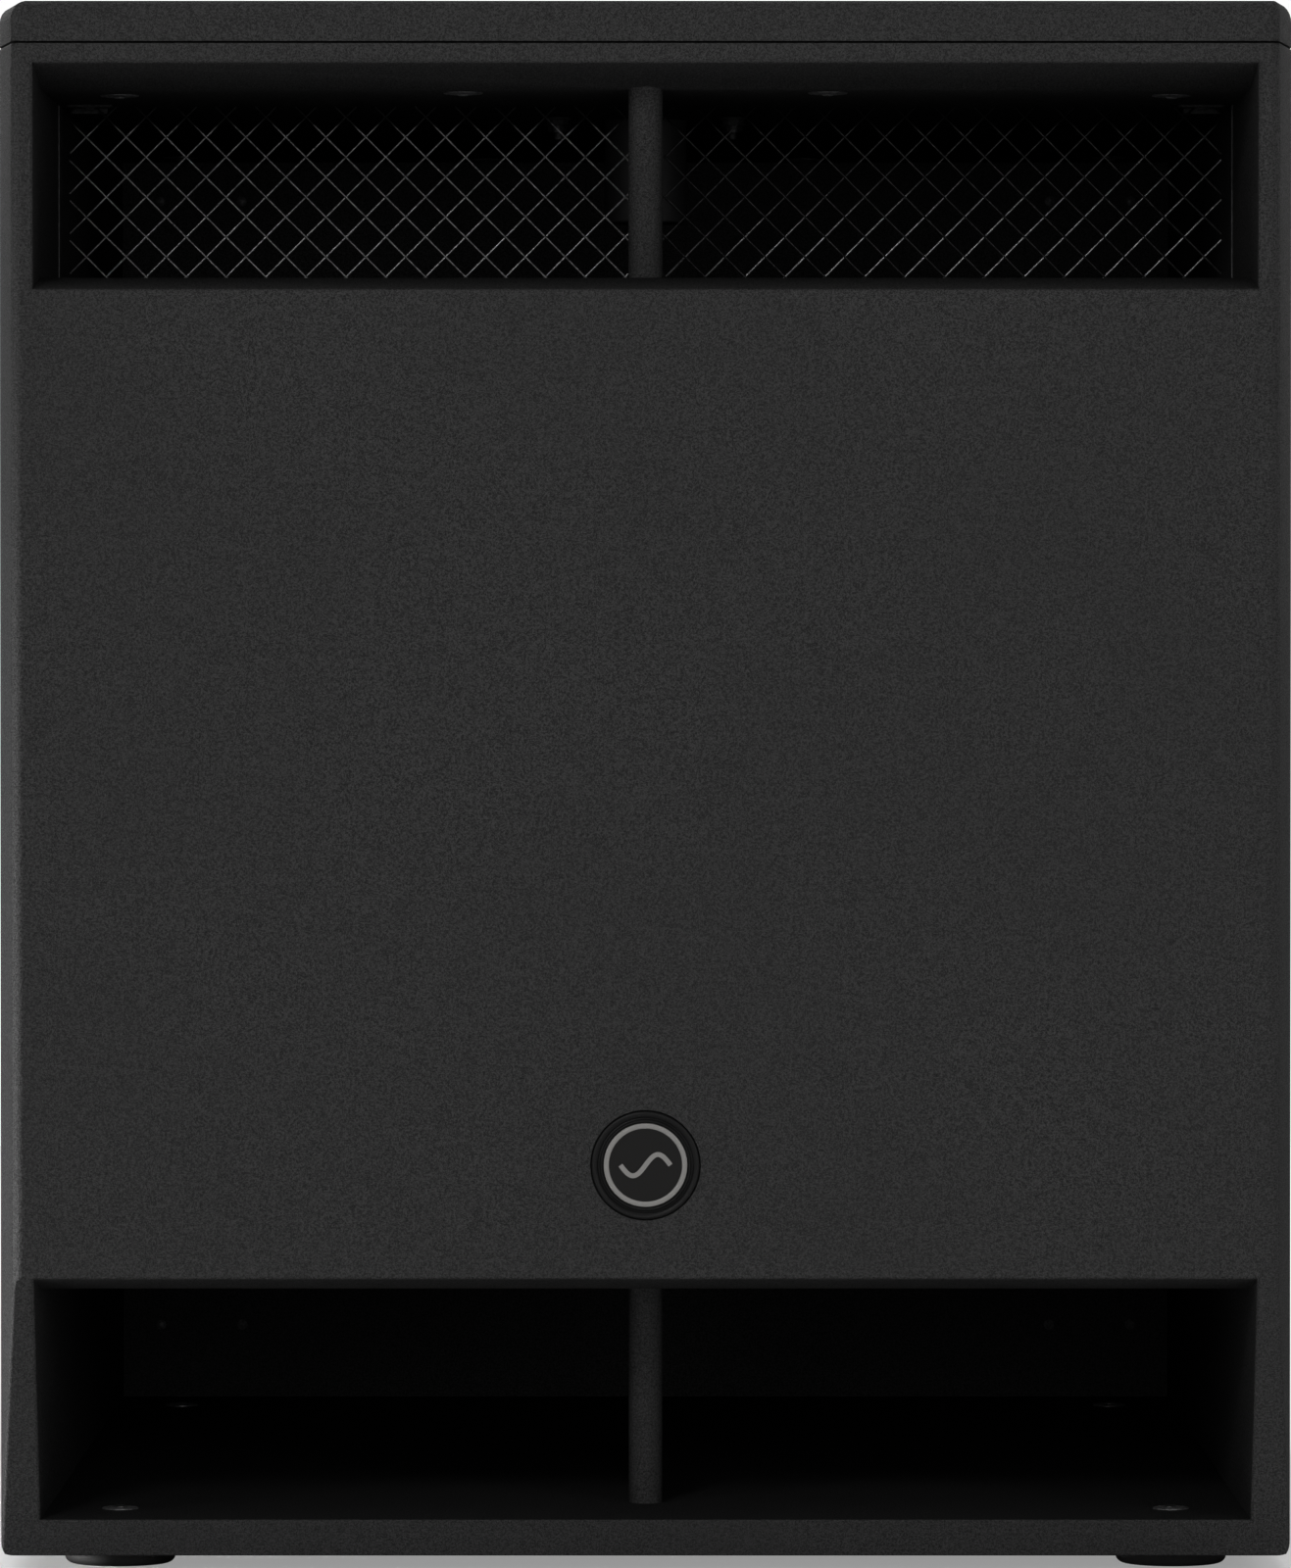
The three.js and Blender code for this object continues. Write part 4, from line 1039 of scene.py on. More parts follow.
def build_pole_socket():
    under_flange, brim, base = TOP - POLE_FLANGE_THICK, TOP - 0.15, POLE_BOTTOM + 12
    profile = rounded_ring(
        [(10.2, POLE_BOTTOM), (POLE_OUTER, POLE_BOTTOM), (POLE_OUTER, under_flange),
         (POLE_FLANGE, under_flange), (POLE_FLANGE, brim), (POLE_INNER, brim),
         (POLE_INNER, base), (10.2, base)],
        [0.3, 1.2, 0, 0.4, 1.0, 1.4, 0.5, 0.8], 5)
    spots = [(x * 40.5, POLE_Y + y * 29) for x, y in ((-1, -1), (1, -1), (1, 1), (-1, 1))]
    cup = Form().lathe(profile, 96, (0, POLE_Y, 0)).solid()
    cut(cup, *[Form().lathe(rod(5.7, TOP - 2.0, TOP + 2), 40, (x, y, 0)) for x, y in spots])
    finish(cup, "pole_cup", "black_metal", ("pole_socket",))

    # threaded bush in the bottom
    pitch, turns = 1.25, 9
    thread = [(10.1, POLE_BOTTOM + 0.3)]
    for k in range(turns):
        z = POLE_BOTTOM + 0.6 + k * pitch
        thread += [(8.6, z + pitch * 0.48), (9.7, z + pitch)]
    thread += [(10.1, POLE_BOTTOM + 11.9), (10.1, POLE_BOTTOM + 0.3)]
    Form().lathe(thread, 64, (0, POLE_Y, 0)).add(
        "pole_thread", "plated_steel", "plated_steel", smooth=20)

    for i, (x, y) in enumerate(spots, 1):
        screw(f"pole_screw_{i}", Matrix.Translation(Vector((x, y, TOP - 1.98))),
              radius=5.1, height=1.6)
        # nut, bolt end and washer under the ceiling board
        form = Form().prism(circle(0, 0, 4.9, 6), -3.6, -0.05, "Z")
        form.lathe([(0, -7.2), (1.5, -7.2), (1.9, -6.7), (1.9, -3.4), (0, -3.4)], 20, material=1)
        form.lathe([(0, -0.9), (6.2, -0.9), (6.4, -0.6), (6.4, 0.0), (0, 0.0)], 32)
        form.bevel(0.3, 2, 40).add(f"pole_nut_{i}", ["coating", "tnut_zinc"], "plated_steel",
                                   transform=Matrix.Translation(Vector((x, y, CEILING))))


# ---------------------------------------------------------------- badge

# (radius, distance behind the front plane) of the stepped bezel, closed
BEZEL = [(18.35, 4.9), (18.35, 1.9), (18.6, 1.2), (18.95, 0.75), (19.25, 0.7), (19.5, 1.0),
         (19.8, 1.5), (20.4, 1.6), (20.8, 1.1), (21.3, 0.62), (22.3, 0.45), (23.1, 0.5),
         (23.45, 0.95), (BADGE_RADIUS, 1.5), (BADGE_RADIUS, 4.9), (18.35, 4.9)]


def build_badge():
    centre = (0, 0, BADGE_Z)
    bezel = [(radius, FRONT + distance) for radius, distance in BEZEL]
    Form().lathe(bezel, 128, centre, "Y").add(
        "badge_ring_bezel", "bezel", "bezel", ("badge_bezel",), smooth=60)
    # dark field, with the silver ring standing in front of it
    form = Form().lathe(rod(15.9, FRONT + 1.9, FRONT + 4.9)[:3] + [(0, FRONT + 4.9)], 128,
                        centre, "Y", material=1)
    ring = rounded_ring([(15.8, FRONT + 4.8), (15.8, FRONT + 1.45), (18.1, FRONT + 1.45),
                         (18.1, FRONT + 4.8)], [0, 0.25, 0.25, 0], 3)
    form.lathe(ring, 128, centre, "Y")
    # the mark: a ribbon along one period of a low wave
    steps, half_length, rise, half_ribbon = 56, 10.8, 4.6, 1.05
    ribbon_y, thickness = FRONT + 1.5, 0.42
    upper, lower = [], []
    for i in range(steps + 1):
        along = -1 + 2 * i / steps
        x, z = along * half_length, rise * math.sin(along * math.pi)
        slope = rise * math.pi * math.cos(along * math.pi)
        length = math.hypot(half_length, slope)
        aside_x, aside_z = -slope / length * half_ribbon, half_length / length * half_ribbon
        upper.append((x + aside_x, BADGE_Z + z + aside_z))
        lower.append((x - aside_x, BADGE_Z + z - aside_z))
    mesh = form.mesh
    for j in range(steps):
        corners = (upper[j], upper[j + 1], lower[j + 1], lower[j])
        mesh.faces.new([mesh.verts.new((x, ribbon_y, z)) for x, z in corners])
    bmesh.ops.remove_doubles(mesh, verts=mesh.verts, dist=0.0005)
    ribbon = [face for face in mesh.faces
              if abs(face.calc_center_median().y - ribbon_y) < 1e-4]
    extruded = bmesh.ops.extrude_face_region(mesh, geom=ribbon)["geom"]
    bmesh.ops.translate(mesh, vec=(0, thickness, 0),
                        verts=[part for part in extruded if isinstance(part, bmesh.types.BMVert)])
    bmesh.ops.recalc_face_normals(mesh, faces=mesh.faces)
    form.add("badge_face", ["badge_silver", "badge_field"], "badge_silver", ("badge_disc",),
             smooth=40)


# ---------------------------------------------------------------- side handles

HANDLE_SCREWS = [(HANDLE_Y + y * 90, HANDLE_Z + z * (66 if y == 0 else 58))
                 for y, z in product((-1, 0, 1), (-1, 1))]


def handle_radius(middle, direction, convex):
    x = abs(middle.x)
    if any(math.hypot(middle.y - y, middle.z - z) < 5 for y, z in HANDLE_SCREWS):
        return 0.35 if x > HALF - 1 and convex else 0.0
    if x > HALF - 1 and convex:
        inside = (abs(middle.y - HANDLE_Y) < WELL_LENGTH / 2 + 1
                  and abs(middle.z - HANDLE_Z) < WELL_HEIGHT / 2 + 1)
        return 2.6 if inside else 1.1
    if x < HALF - WELL_DEPTH + 4 and not convex:
        return 5.0
    return 0.0


def build_handle_cup(name, side):
    def outline(length, height, radius):
        return round_rect(HANDLE_Y, HANDLE_Z, length, height, radius, 10)

    cup = Form().prism(outline(*HANDLE_SIZE, WELL_RADIUS + 6),
                       *span(side, HALF - HANDLE_FLANGE, HALF - 0.15), "X").solid()
    join(cup, Form().prism(outline(WELL_LENGTH, WELL_HEIGHT, WELL_RADIUS),
                           *span(side, HALF - WELL_DEPTH, HALF - 0.6), "X"))
    # the hollow tapers towards its floor
    mouth = outline(WELL_LENGTH - 6, WELL_HEIGHT - 6, WELL_RADIUS - 3)
    floor = outline(WELL_LENGTH - 14, WELL_HEIGHT - 14, WELL_RADIUS - 5)
    cut(cup, Form().loft([placed(point, side * (HALF + 4), "X") for point in mouth],
                         [placed(point, side * (HALF - WELL_DEPTH + 3), "X") for point in floor]))
    cut(cup, *[Form().prism(circle(y, z, 4.5, 40), *span(side, HALF - 1.9, HALF + 2), "X")
               for y, z in HANDLE_SCREWS])
    weighted_bevel(cup, handle_radius, segments=4, biggest=6.0)
    finish(cup, f"handle_cup_{name}", "black_plastic", (f"{name}_handle_cup",))


def build_handle_grip(name, side):
    """Steel bar with a ribbed rubber grip."""
    length = WELL_LENGTH - 8.5
    start, end = HANDLE_Y - length / 2, HANDLE_Y + length / 2
    rib_pitch, rib_count = 4.8, 29
    profile = [(0, start), (7.0, start), (7.0, start + 9), (9.6, start + 10), (12.0, start + 13)]
    for k in range(rib_count):
        y = start + 17 + k * rib_pitch
        profile += [(12.4, y - 1.2), (12.4, y + 1.2), (11.6, y + 1.9), (11.6, y + 2.9)]
    profile += [(12.0, end - 13), (9.6, end - 10), (7.0, end - 9), (7.0, end), (0, end)]
    form = Form().lathe(profile, 48, (side * (HALF - 15), 0, HANDLE_Z + 16), "Y")
    form.paint(1, lambda centre: centre.y < start + 9.2 or centre.y > end - 9.2)
    form.add(f"handle_grip_{name}", ["grip_rubber", "dark_steel"], "grip_rubber",
             (f"{name}_handle_bar",), smooth=40)


def build_handles():
    for name, side in SIDES:
        build_handle_cup(name, side)
        build_handle_grip(name, side)
        for k, (y, z) in enumerate(HANDLE_SCREWS, 1):
            screw(f"handle_screw_{name}_{k}", aimed((side * (HALF - 1.88), y, z), (side, 0, 0)),
                  radius=3.9, height=1.6)


# ---------------------------------------------------------------- amplifier plate


def build_plate():
    def hole(radius, spot):
        return Form().lathe(rod(radius, PLATE_BACK - 5, PLATE_FACE + 5), 48,
                            (spot[0], 0, spot[1]), "Y")

    def window(width, height, spot, radius=1.0):
        return Form().prism(round_rect(*spot, width, height, radius, 3),
                            PLATE_BACK - 5, PLATE_FACE + 5, "Y")

    plate = Form().prism(round_rect(0, (PLATE_LOW + PLATE_HIGH) / 2, 2 * PLATE_HALF,
                                    PLATE_HIGH - PLATE_LOW, 8, 8),
                         PLATE_BACK, PLATE_FACE, "Y").solid()
    cut(plate, hole(4.2, KNOB), window(22.4, 28.4, ROCKER), hole(12.8, MAINS), hole(5.2, BREAKER),
        *[hole(12.2, spot) for spot in IN_JACKS + OUT_JACKS],
        *[window(11, 4.6, spot, 0.8) for spot in SLIDERS])
    # level slots that fill a circle in front of the fan
    circle_radius, slot_pitch, slot_height = 26, 6.6, 3.4
    for i in range(7):
        rise = (i - 3) * slot_pitch
        width = 2 * math.sqrt(circle_radius * circle_radius - rise * rise)
        cut(plate, window(width, slot_height, (FAN[0], FAN[1] + rise), 1.6))
    weighted_bevel(plate, lambda middle, direction, convex: 0.5 if convex else 0,
                   segments=2, biggest=1.0)
    finish(plate, "rear_plate", "black_metal", ("amp_plate",))


def build_marks():
    """Printed marks: the knob's scale, lines round the groups, slider marks, plus and minus."""
    form = Form()
    mesh = form.mesh
    low, high = PLATE_FACE - 0.02, PLATE_FACE + 0.06

    def bar(x, z, width, height, radius, top=high):
        form.prism(round_rect(x, z, width, height, radius, 2), low, top, "Y")

    def border(left, right, bottom, top, width=0.5, radius=3.0):
        x, z = (left + right) / 2, (bottom + top) / 2
        outer = round_rect(x, z, right - left, top - bottom, radius, 5)
        inner = round_rect(x, z, right - left - 2 * width, top - bottom - 2 * width,
                           radius - width, 5)
        (under_out, under_in), (over_out, over_in) = [
            [[mesh.verts.new((point[0], y, point[1])) for point in ring]
             for ring in (outer, inner)] for y in (low, high)]
        for j in range(len(outer)):
            k = (j + 1) % len(outer)
            mesh.faces.new((over_out[j], over_out[k], over_in[k], over_in[j]))
            mesh.faces.new((under_out[j], under_in[j], under_in[k], under_out[k]))
            mesh.faces.new((under_out[j], under_out[k], over_out[k], over_out[j]))
            mesh.faces.new((under_in[k], under_in[j], over_in[j], over_in[k]))

    centre = Vector(KNOB)
    for i in range(11):
        turn = math.radians(-150 + 30 * i)
        reach, width = (16.0, 0.9) if i % 5 == 0 else (15.0, 0.6)
        outward = Vector((math.sin(turn), math.cos(turn)))
        aside = Vector((outward.y, -outward.x)) * width / 2
        near, far = centre + outward * 13.2, centre + outward * reach
        form.prism([near - aside, near + aside, far + aside, far - aside], low, high, "Y")
    border(-24, 126, 208, 256)
    border(10, 76, 272, 304)
    border(-124, -84, 156, 308)
    for x, z in SLIDERS:
        for aside in (-2.9, 2.6):
            bar(x + aside, z + 5.6, 0.7, 2.6, 0.3)
            bar(x + aside, z - 5.6, 0.7, 2.6, 0.3)
    for side in (-1, 1):
        x, z = KNOB[0] + side * 11.8, KNOB[1] - 17.5
        bar(x, z, 3.4, 0.7, 0.2)
        if side < 0:
            bar(x, z, 0.7, 3.4, 0.2, top=high + 0.005)
    bmesh.ops.recalc_face_normals(mesh, faces=mesh.faces)
    form.add("plate_marks", "mark_white", "black_metal", smooth=30)


def build_heat_sink():
    count, half_width, low, high = 25, 260 / 2, 326, 538
    root, tip = PLATE_FACE + 3, 721.0 / 2 - 0.05
    root_half, tip_half, end_fin = 1.2, 0.9, 2.4    # fin half thicknesses; whole end fin
    root_radius, tip_radius = 0.9, 0.7
    # from the right end to the left one
    outline = [(-half_width, PLATE_FACE), (half_width, PLATE_FACE),
               (half_width, tip), (half_width - end_fin, tip), (half_width - end_fin, root)]
    radii = [0.3, 0.3, tip_radius, tip_radius, root_radius]
    for i in range(count - 2, 0, -1):
        x = -half_width + root_half + i * (2 * half_width - 2 * root_half) / (count - 1)
        outline += [(x + root_half, root), (x + tip_half, tip), (x - tip_half, tip),
                    (x - root_half, root)]
        radii += [root_radius, tip_radius, tip_radius, root_radius]
    outline += [(-half_width + end_fin, root), (-half_width + end_fin, tip), (-half_width, tip)]
    radii += [root_radius, tip_radius, tip_radius]
    form = Form().prism(rounded(outline, radii, 3), low, high, "Z")
    caps = [face for face in form.mesh.faces if len(face.verts) > 8]
    bmesh.ops.triangulate(form.mesh, faces=caps, ngon_method="EAR_CLIP")
    form.add("cooling_fins", "heat_sink", "heat_sink", ("heat_sink",), smooth=40)


def build_plate_screws():
    spots = list(product((-143.5, -48, 48, 143.5), (139.5, 546.5)))
    spots += product((-143.5, 143.5), (232, 343, 454))
    for i, spot in enumerate(spots, 1):
        screw(f"plate_screw_{i}", on_plate(spot), radius=4.2, height=2.2)


def build_knob():
    form = Form().lathe([(0, 0.6), (3.4, 0.6), (10.6, 0.6), (11.0, 1.0), (10.6, 6.0),
                         (10.25, 8.2), (9.6, 9.0), (8.6, 9.3), (0, 9.15)], 72)
    flutes, flute_depth = 18, 0.045
    for vert in form.mesh.verts:
        if 9.9 < math.hypot(vert.co.x, vert.co.y) < 11.2 and 0.8 < vert.co.z < 8.6:
            turn = math.atan2(vert.co.y, vert.co.x)
            shrink = 1 - flute_depth * (0.5 + 0.5 * math.cos(turn * flutes)) ** 3
            vert.co.x *= shrink
            vert.co.y *= shrink
    # pointer and spindle
    form.prism(round_rect(0, 6.4, 1.2, 5.6, 0.5, 3), 9.0, 9.42, "Z", material=1)
    form.lathe(rod(2.9, -11, 0.9), 24)
    form.add("level_dial", ["knob_plastic", "mark_white"], "black_plastic", ("level_knob",),
             body="volume_knob", transform=on_plate(KNOB), smooth=35)


def build_sliders():
    """Slide switch tabs with grip ribs, each at the -X end of its slot."""
    for name, spot in zip(("polarity", "filter"), SLIDERS):
        form = Form().prism(round_rect(2.9, 0, 4.0, 3.8, 0.4, 2), -3.1, 2.2, "Z")
        form.bevel(0.25, 2, 40)
        for j in range(3):
            form.prism(round_rect(1.9 + j * 1.0, 0, 0.45, 3.2, 0.15, 2), 2.1, 2.5, "Z")
        form.add(f"{name}_tab", "knob_plastic", "black_plastic", (f"{name}_slider",),
                 body=f"{name}_switch", transform=on_plate(spot), smooth=35)


def socket(name, node, spot, flange, barrel, cuts, core=(), rim=0.5):
    """A flanged body sunk in the plate, its front edges rounded by rim; core is put back in
    after the cuts."""
    solid = flange.solid()
    join(solid, barrel)
    cut(solid, *cuts)
    join(solid, *core)
    weighted_bevel(solid, lambda middle, direction, convex: rim if convex and middle.z > 1.2 else 0,
                   segments=3, biggest=1.0)
    finish(solid, name, "black_plastic", (node,), on_plate(spot))


def build_power_switch():
    socket("switch_frame", "switch_body", ROCKER,
           flange=Form().prism(round_rect(0, 0, 26, 32, 2.5, 5), 0.0, 1.6, "Z"),
           barrel=Form().prism(round_rect(0, 0, 22, 28, 1, 3), -21, 1.0, "Z"),
           cuts=[Form().prism(round_rect(0, 0, 16.6, 24.8, 0.8, 3), -12.9, 6, "Z")], rim=0.6)
    half_length, steps = 10.4, 12
    outline = [(-4, -4), (-half_length, 0.6)]
    for i in range(steps + 1):
        y = -half_length + 2 * half_length * i / steps
        outline.append((y, 3.3 + 2.1 * (abs(y) / half_length) ** 1.25))
    outline += [(half_length, 0.6), (4, -4)]
    form = Form().prism(outline, -7.8, 7.8, "X").bevel(0.5, 3, 35)
    # a small ring on the lower end, a bar on the upper
    form.lathe([(1.1, 5.15), (1.8, 5.15), (1.8, 5.35), (1.1, 5.35), (1.1, 5.15)], 24,
               (0, -7.2, -0.15), material=1)
    form.prism(round_rect(0, 7.2, 0.9, 3.8, 0.3, 3), 4.6, 5.2, "Z", material=1)
    tilt = Matrix.Translation((0, 0, 0.4)) @ Matrix.Rotation(math.radians(9), 4, "X")
    form.add("power_rocker_cap", ["knob_plastic", "mark_white"], "black_plastic",
             ("power_rocker",), body="power_switch", transform=on_plate(ROCKER) @ tilt, smooth=35)


def build_mains_inlet():
    """Round locking socket with three blades."""
    key = [(0, -19.5), (4.1, -19.5), (4.1, 0.2), (3.6, 0.7), (0, 0.7)]
    socket("mains_socket", "mains_inlet", MAINS,
           flange=Form().prism(round_rect(0, 0, 28, 34, 4, 6), 0, 1.8, "Z"),
           barrel=Form().lathe(rod(12.4, -25, 1.0)),
           cuts=[Form().lathe(rod(10.4, -19, 6)),
                 Form().prism(round_rect(0, 10.2, 4.2, 3.6, 0.6, 3), -19, 6, "Z")],
           core=[Form().lathe(key, 40)])
    form = Form()
    for degrees in (120, 240, 360):
        turn = math.radians(degrees)
        form.prism(round_rect(7.1 * math.cos(turn), 7.1 * math.sin(turn), 1.2, 3.2, 0),
                   -18, -4.5, "Z")
    form.bevel(0.2, 2, 40).add("mains_contacts", "contact_gold", "plated_steel",
                               transform=on_plate(MAINS))


def hexagon_nut(name, form, bore, segments, spot):
    """Bores a form and adds it to the plate as a nut."""
    nut = form.solid()
    cut(nut, Form().lathe(rod(bore, -3, 6), segments))
    finish(nut, name, "dark_steel", transform=on_plate(spot))


def build_breaker_and_nuts():
    cap = rounded([(0, -12), (4.6, -12), (4.6, 4.0), (0, 3.6)], [0, 0.3, 1.0, 0], 5, closed=False)
    Form().lathe(cap, 40).add("breaker_cap", "breaker_black", "black_plastic",
                              ("breaker_button",), body="breaker", transform=on_plate(BREAKER),
                              smooth=40)
    hexagon_nut("breaker_nut", Form().prism(circle(0, 0, 9.0, 6), 0.0, 1.6, "Z").bevel(0.4, 2, 40),
                5.15, 40, BREAKER)
    hexagon_nut("level_nut", Form().prism(circle(0, 0, 6.4, 6), 0.0, 0.5, "Z"), 4.1, 32, KNOB)


PINS = [(-6, 4), (6, 4), (0, -6.5)]


def jack_shell(name, node, spot, bore, notch):
    socket(name, node, spot,
           flange=Form().prism(round_rect(0, 0, 26, 31, 3, 6), 0, 1.8, "Z"),
           barrel=Form().lathe(rod(11.8, -25, 1.0)),
           cuts=[Form().lathe(rod(bore, -17, 6)), notch])


def build_jacks():
    for letter, spot in zip("ab", IN_JACKS):
        jack_shell(f"input_shell_{letter}", f"input_jack_{letter}", spot, 8.2,
                   Form().prism(round_rect(0, 11.8, 8.8, 4.8, 0.8, 3), -0.2, 6, "Z"))
        # insert with three sockets
        insert = Form().lathe([(0, -16.9), (8.0, -16.9), (8.0, -0.9), (7.5, -0.4), (0, -0.4)],
                              56).solid()
        cut(insert, *[Form().lathe(rod(1.5, -14, 4), 24, (x * 0.62, y * 0.62, 0))
                      for x, y in PINS])
        weighted_bevel(
            insert, lambda middle, direction, convex: 0.3 if convex and middle.z > -1 else 0,
            segments=2, biggest=1.0)
        finish(insert, f"input_insert_{letter}", "knob_plastic",
               transform=on_plate(spot))
        # latch with three ribs
        form = Form().prism(round_rect(0, 11.8, 8.0, 4.0, 0.7, 3), 1.6, 3.6, "Z")
        form.bevel(0.4, 3, 40)
        for j in range(3):
            form.prism(round_rect(0, 10.7 + j * 1.1, 5.5, 0.4, 0.15, 2), 3.5, 3.8, "Z")
        form.add(f"input_tab_{letter}", "plated_steel", "plated_steel",
                 (f"input_latch_{letter}",), body=f"latch_{letter}", transform=on_plate(spot))
    for letter, spot in zip("ab", OUT_JACKS):
        jack_shell(f"output_shell_{letter}", f"output_jack_{letter}", spot, 9.6,
                   Form().prism(round_rect(0, -9.8, 3.2, 2.4, 0.5, 3), -17, 6, "Z"))
        form = Form()
        for x, y in PINS:
            form.lathe([(0, -17.5), (1.2, -17.5), (1.2, -2.4), (0.8, -1.6), (0, -1.4)], 20,
                       (x * 0.8, y * 0.8, 0))
        form.add(f"output_pins_{letter}", "contact_gold", "plated_steel",
                 transform=on_plate(spot))
    # two screws in opposite corners of each flange: (socket, x and z from its centre)
    pairs = [(spot, 9.6, 12.0) for spot in IN_JACKS + OUT_JACKS] + [(MAINS, 10.4, 13.4)]
    for i, ((spot, x, z), side) in enumerate(product(pairs, (-1, 1)), 1):
        corner = (spot[0] + side * x, spot[1] - side * z)
        screw(f"jack_screw_{i}", on_plate(corner, PLATE_FACE + 1.75), radius=2.6, height=1.3)


def build_lamps():
    profile = [(0, 1.9), (0.9, 1.75), (1.6, 1.25), (1.9, 0.5), (1.9, 0.02), (2.6, 0.3),
               (2.9, 0.25), (3.0, 0.0), (3.0, -0.05), (0, -0.05)]
    for name, lens, x in (("lamp_power", "led_green", -8), ("lamp_signal", "led_green", -22),
                          ("lamp_limit", "led_amber", -36), ("lamp_protect", "led_red", -50)):
        form = Form().lathe(profile, 32)
        form.paint(1, lambda centre: math.hypot(centre.x, centre.y) > 1.95)
        form.add(name, [lens, "black_plastic"], "black_plastic", transform=on_plate((x, 288)))


def build_fan_screws():
    for i, (x, z) in enumerate(product((-25, 25), (-25, 25)), 1):
        screw(f"fan_screw_{i}", on_plate((FAN[0] + x, FAN[1] + z)), radius=3.2, height=1.6)


# ---------------------------------------------------------------- driver and other inner parts

TILT, SETBACK = math.radians(25), 9
DRIVER_PLACE = Matrix.Translation((0, back(305) - SETBACK * math.sin(TILT),
                                   356 + SETBACK * math.cos(TILT))) @ Matrix.Rotation(TILT, 4, "X")


def driver_part(name, node, material, profile, radii, body="cabinet", segments=128, closed=True):
    """A part turned on the driver's axis from (radius, height) points."""
    outline = rounded(profile, radii, 3, closed=closed)
    if closed:
        outline.append(outline[0])
    Form().lathe(outline, segments).add(name, material, material, (node,), body=body,
                                        transform=DRIVER_PLACE, smooth=35)


def tube(inner, outer, low, high):
    return [(inner, low), (outer, low), (outer, high), (inner, high)]


def surround_profile():
    """A half roll between two flat edges; two arcs are its two faces."""
    turns = [math.pi * k / 12 for k in range(13)]
    first = [(203 - 5.6 * math.cos(turn), 8.0 + 4.6 * math.sin(turn)) for turn in turns]
    second = [(203 - 6.2 * math.cos(turn), 8.2 + 5.2 * math.sin(turn))
              for turn in reversed(turns)]
    return ([(186, 3.4), (196.8, 5.0)] + first + [(212.3, 7.9), (212.3, 8.5)] + second
            + [(196.4, 5.7), (186, 4.1)])


def spider_profile():
    """Corrugated disc with a flat rim."""
    inner, outer, height, thickness, waves = 55, 102, -55, 0.7, 4.5
    upper = []
    for i in range(45):
        radius = inner + (outer - inner) * i / 44
        phase = (radius - inner) / (outer - inner) * 2 * math.pi * waves
        upper.append((radius, height + 2.6 * math.cos(phase)))
    lower = [(radius, z - thickness) for radius, z in upper]
    return upper + [(110.5, -55.4), (110.5, -56.1)] + lower[::-1]


def build_driver():
    driver_part("cone_skin", "cone", "cone_paper", [
        (51.9, -44), (54.1, -44), (54.1, -33.2), (92, -21.5), (130, -9.2), (165, -3.2),
        (196, 1.5), (196, 3.2), (165, -1.6), (129, -7.0), (90, -19.2), (51.9, -31)],
        radii=3.0, body="cone_assembly")
    driver_part("centre_cap", "dust_cap", "cone_paper", [
        (0, -6), (24, -8.5), (46, -15.5), (63, -26.6), (63.8, -25.8), (47, -14), (24.5, -6.6),
        (0, -4)], radii=6.0, body="cone_assembly", segments=96, closed=False)
    driver_part("coil_winding", "voice_coil", "copper_wire", tube(49.9, 51.4, -126, -30),
                radii=0.3, body="cone_assembly")
    driver_part("roll_surround", "surround", "surround_cloth", surround_profile(), radii=0.0)
    driver_part("corrugated_spider", "spider", "spider_cloth", spider_profile(), radii=0.0)
    driver_part("magnet_ferrite", "magnet_ring", "ferrite", tube(60, 104, -141, -117.4),
                radii=1.2)
    driver_part("gap_plate", "top_plate", "plated_steel", tube(52.4, 98, -117, -105), radii=0.8)
    driver_part("yoke", "back_plate", "plated_steel", [
        (16, -153.5), (98, -153.5), (98, -141.3), (49, -141.3), (49, -105), (16, -105)],
        radii=2.0)
    driver_part("basket_gasket", "driver_gasket", "gasket_foam", tube(212.8, 229, 0.4, 2.4),
                radii=0.5)


def refine(node, material, width, angle=30):
    """Keeps a CAD node's shape: softens its edges by modifiers and gives it its material."""
    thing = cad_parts[node]
    thing.data.materials.clear()
    thing.data.materials.append(MATERIALS[material])
    modifier(thing, "weld", "WELD", merge_threshold=1e-5)
    modifier(thing, "planar", "DECIMATE", decimate_type="DISSOLVE",
             angle_limit=math.radians(0.5))
    modifier(thing, "bevel", "BEVEL", width=width, segments=2, limit_method="ANGLE",
             angle_limit=math.radians(angle), use_clamp_overlap=True, harden_normals=False)
    modifier(thing, "normals", "WEIGHTED_NORMAL", keep_sharp=True)
    thing.data.polygons.foreach_set("use_smooth", [True] * len(thing.data.polygons))


def refine_inner_parts():
    # (node, material, bevel width in metres)
    for node, material, width in (
            ("driver_baffle", "coating", 0.0010), ("amp_bay_wall", "coating", 0.0010),
            ("amp_bay_roof", "coating", 0.0010), ("amp_bay_floor", "coating", 0.0010),
            ("amp_gasket", "gasket_foam", 0.0004), ("amp_board", "circuit_board", 0.0004),
            ("supply_board", "circuit_board", 0.0004), ("input_board", "circuit_board", 0.0004),
            ("level_pot", "plated_steel", 0.0004), ("fan_frame", "black_plastic", 0.0006),
            ("fan_rotor", "knob_plastic", 0.0003), ("driver_frame", "black_metal", 0.0010)):
        refine(node, material, width)
    refine("speaker_cable", "cable_jacket", 0.0002, angle=60)


def build_driver_bolts():
    count, circle_radius = 8, 222
    for k in range(count):
        turn = 2 * math.pi * k / count + math.pi / count
        place = (circle_radius * math.cos(turn), circle_radius * math.sin(turn), 10.9)
        screw(f"driver_bolt_{k + 1}", DRIVER_PLACE @ Matrix.Translation(place),
              radius=5.2, height=4.0)


# ---------------------------------------------------------------- stage, light, camera


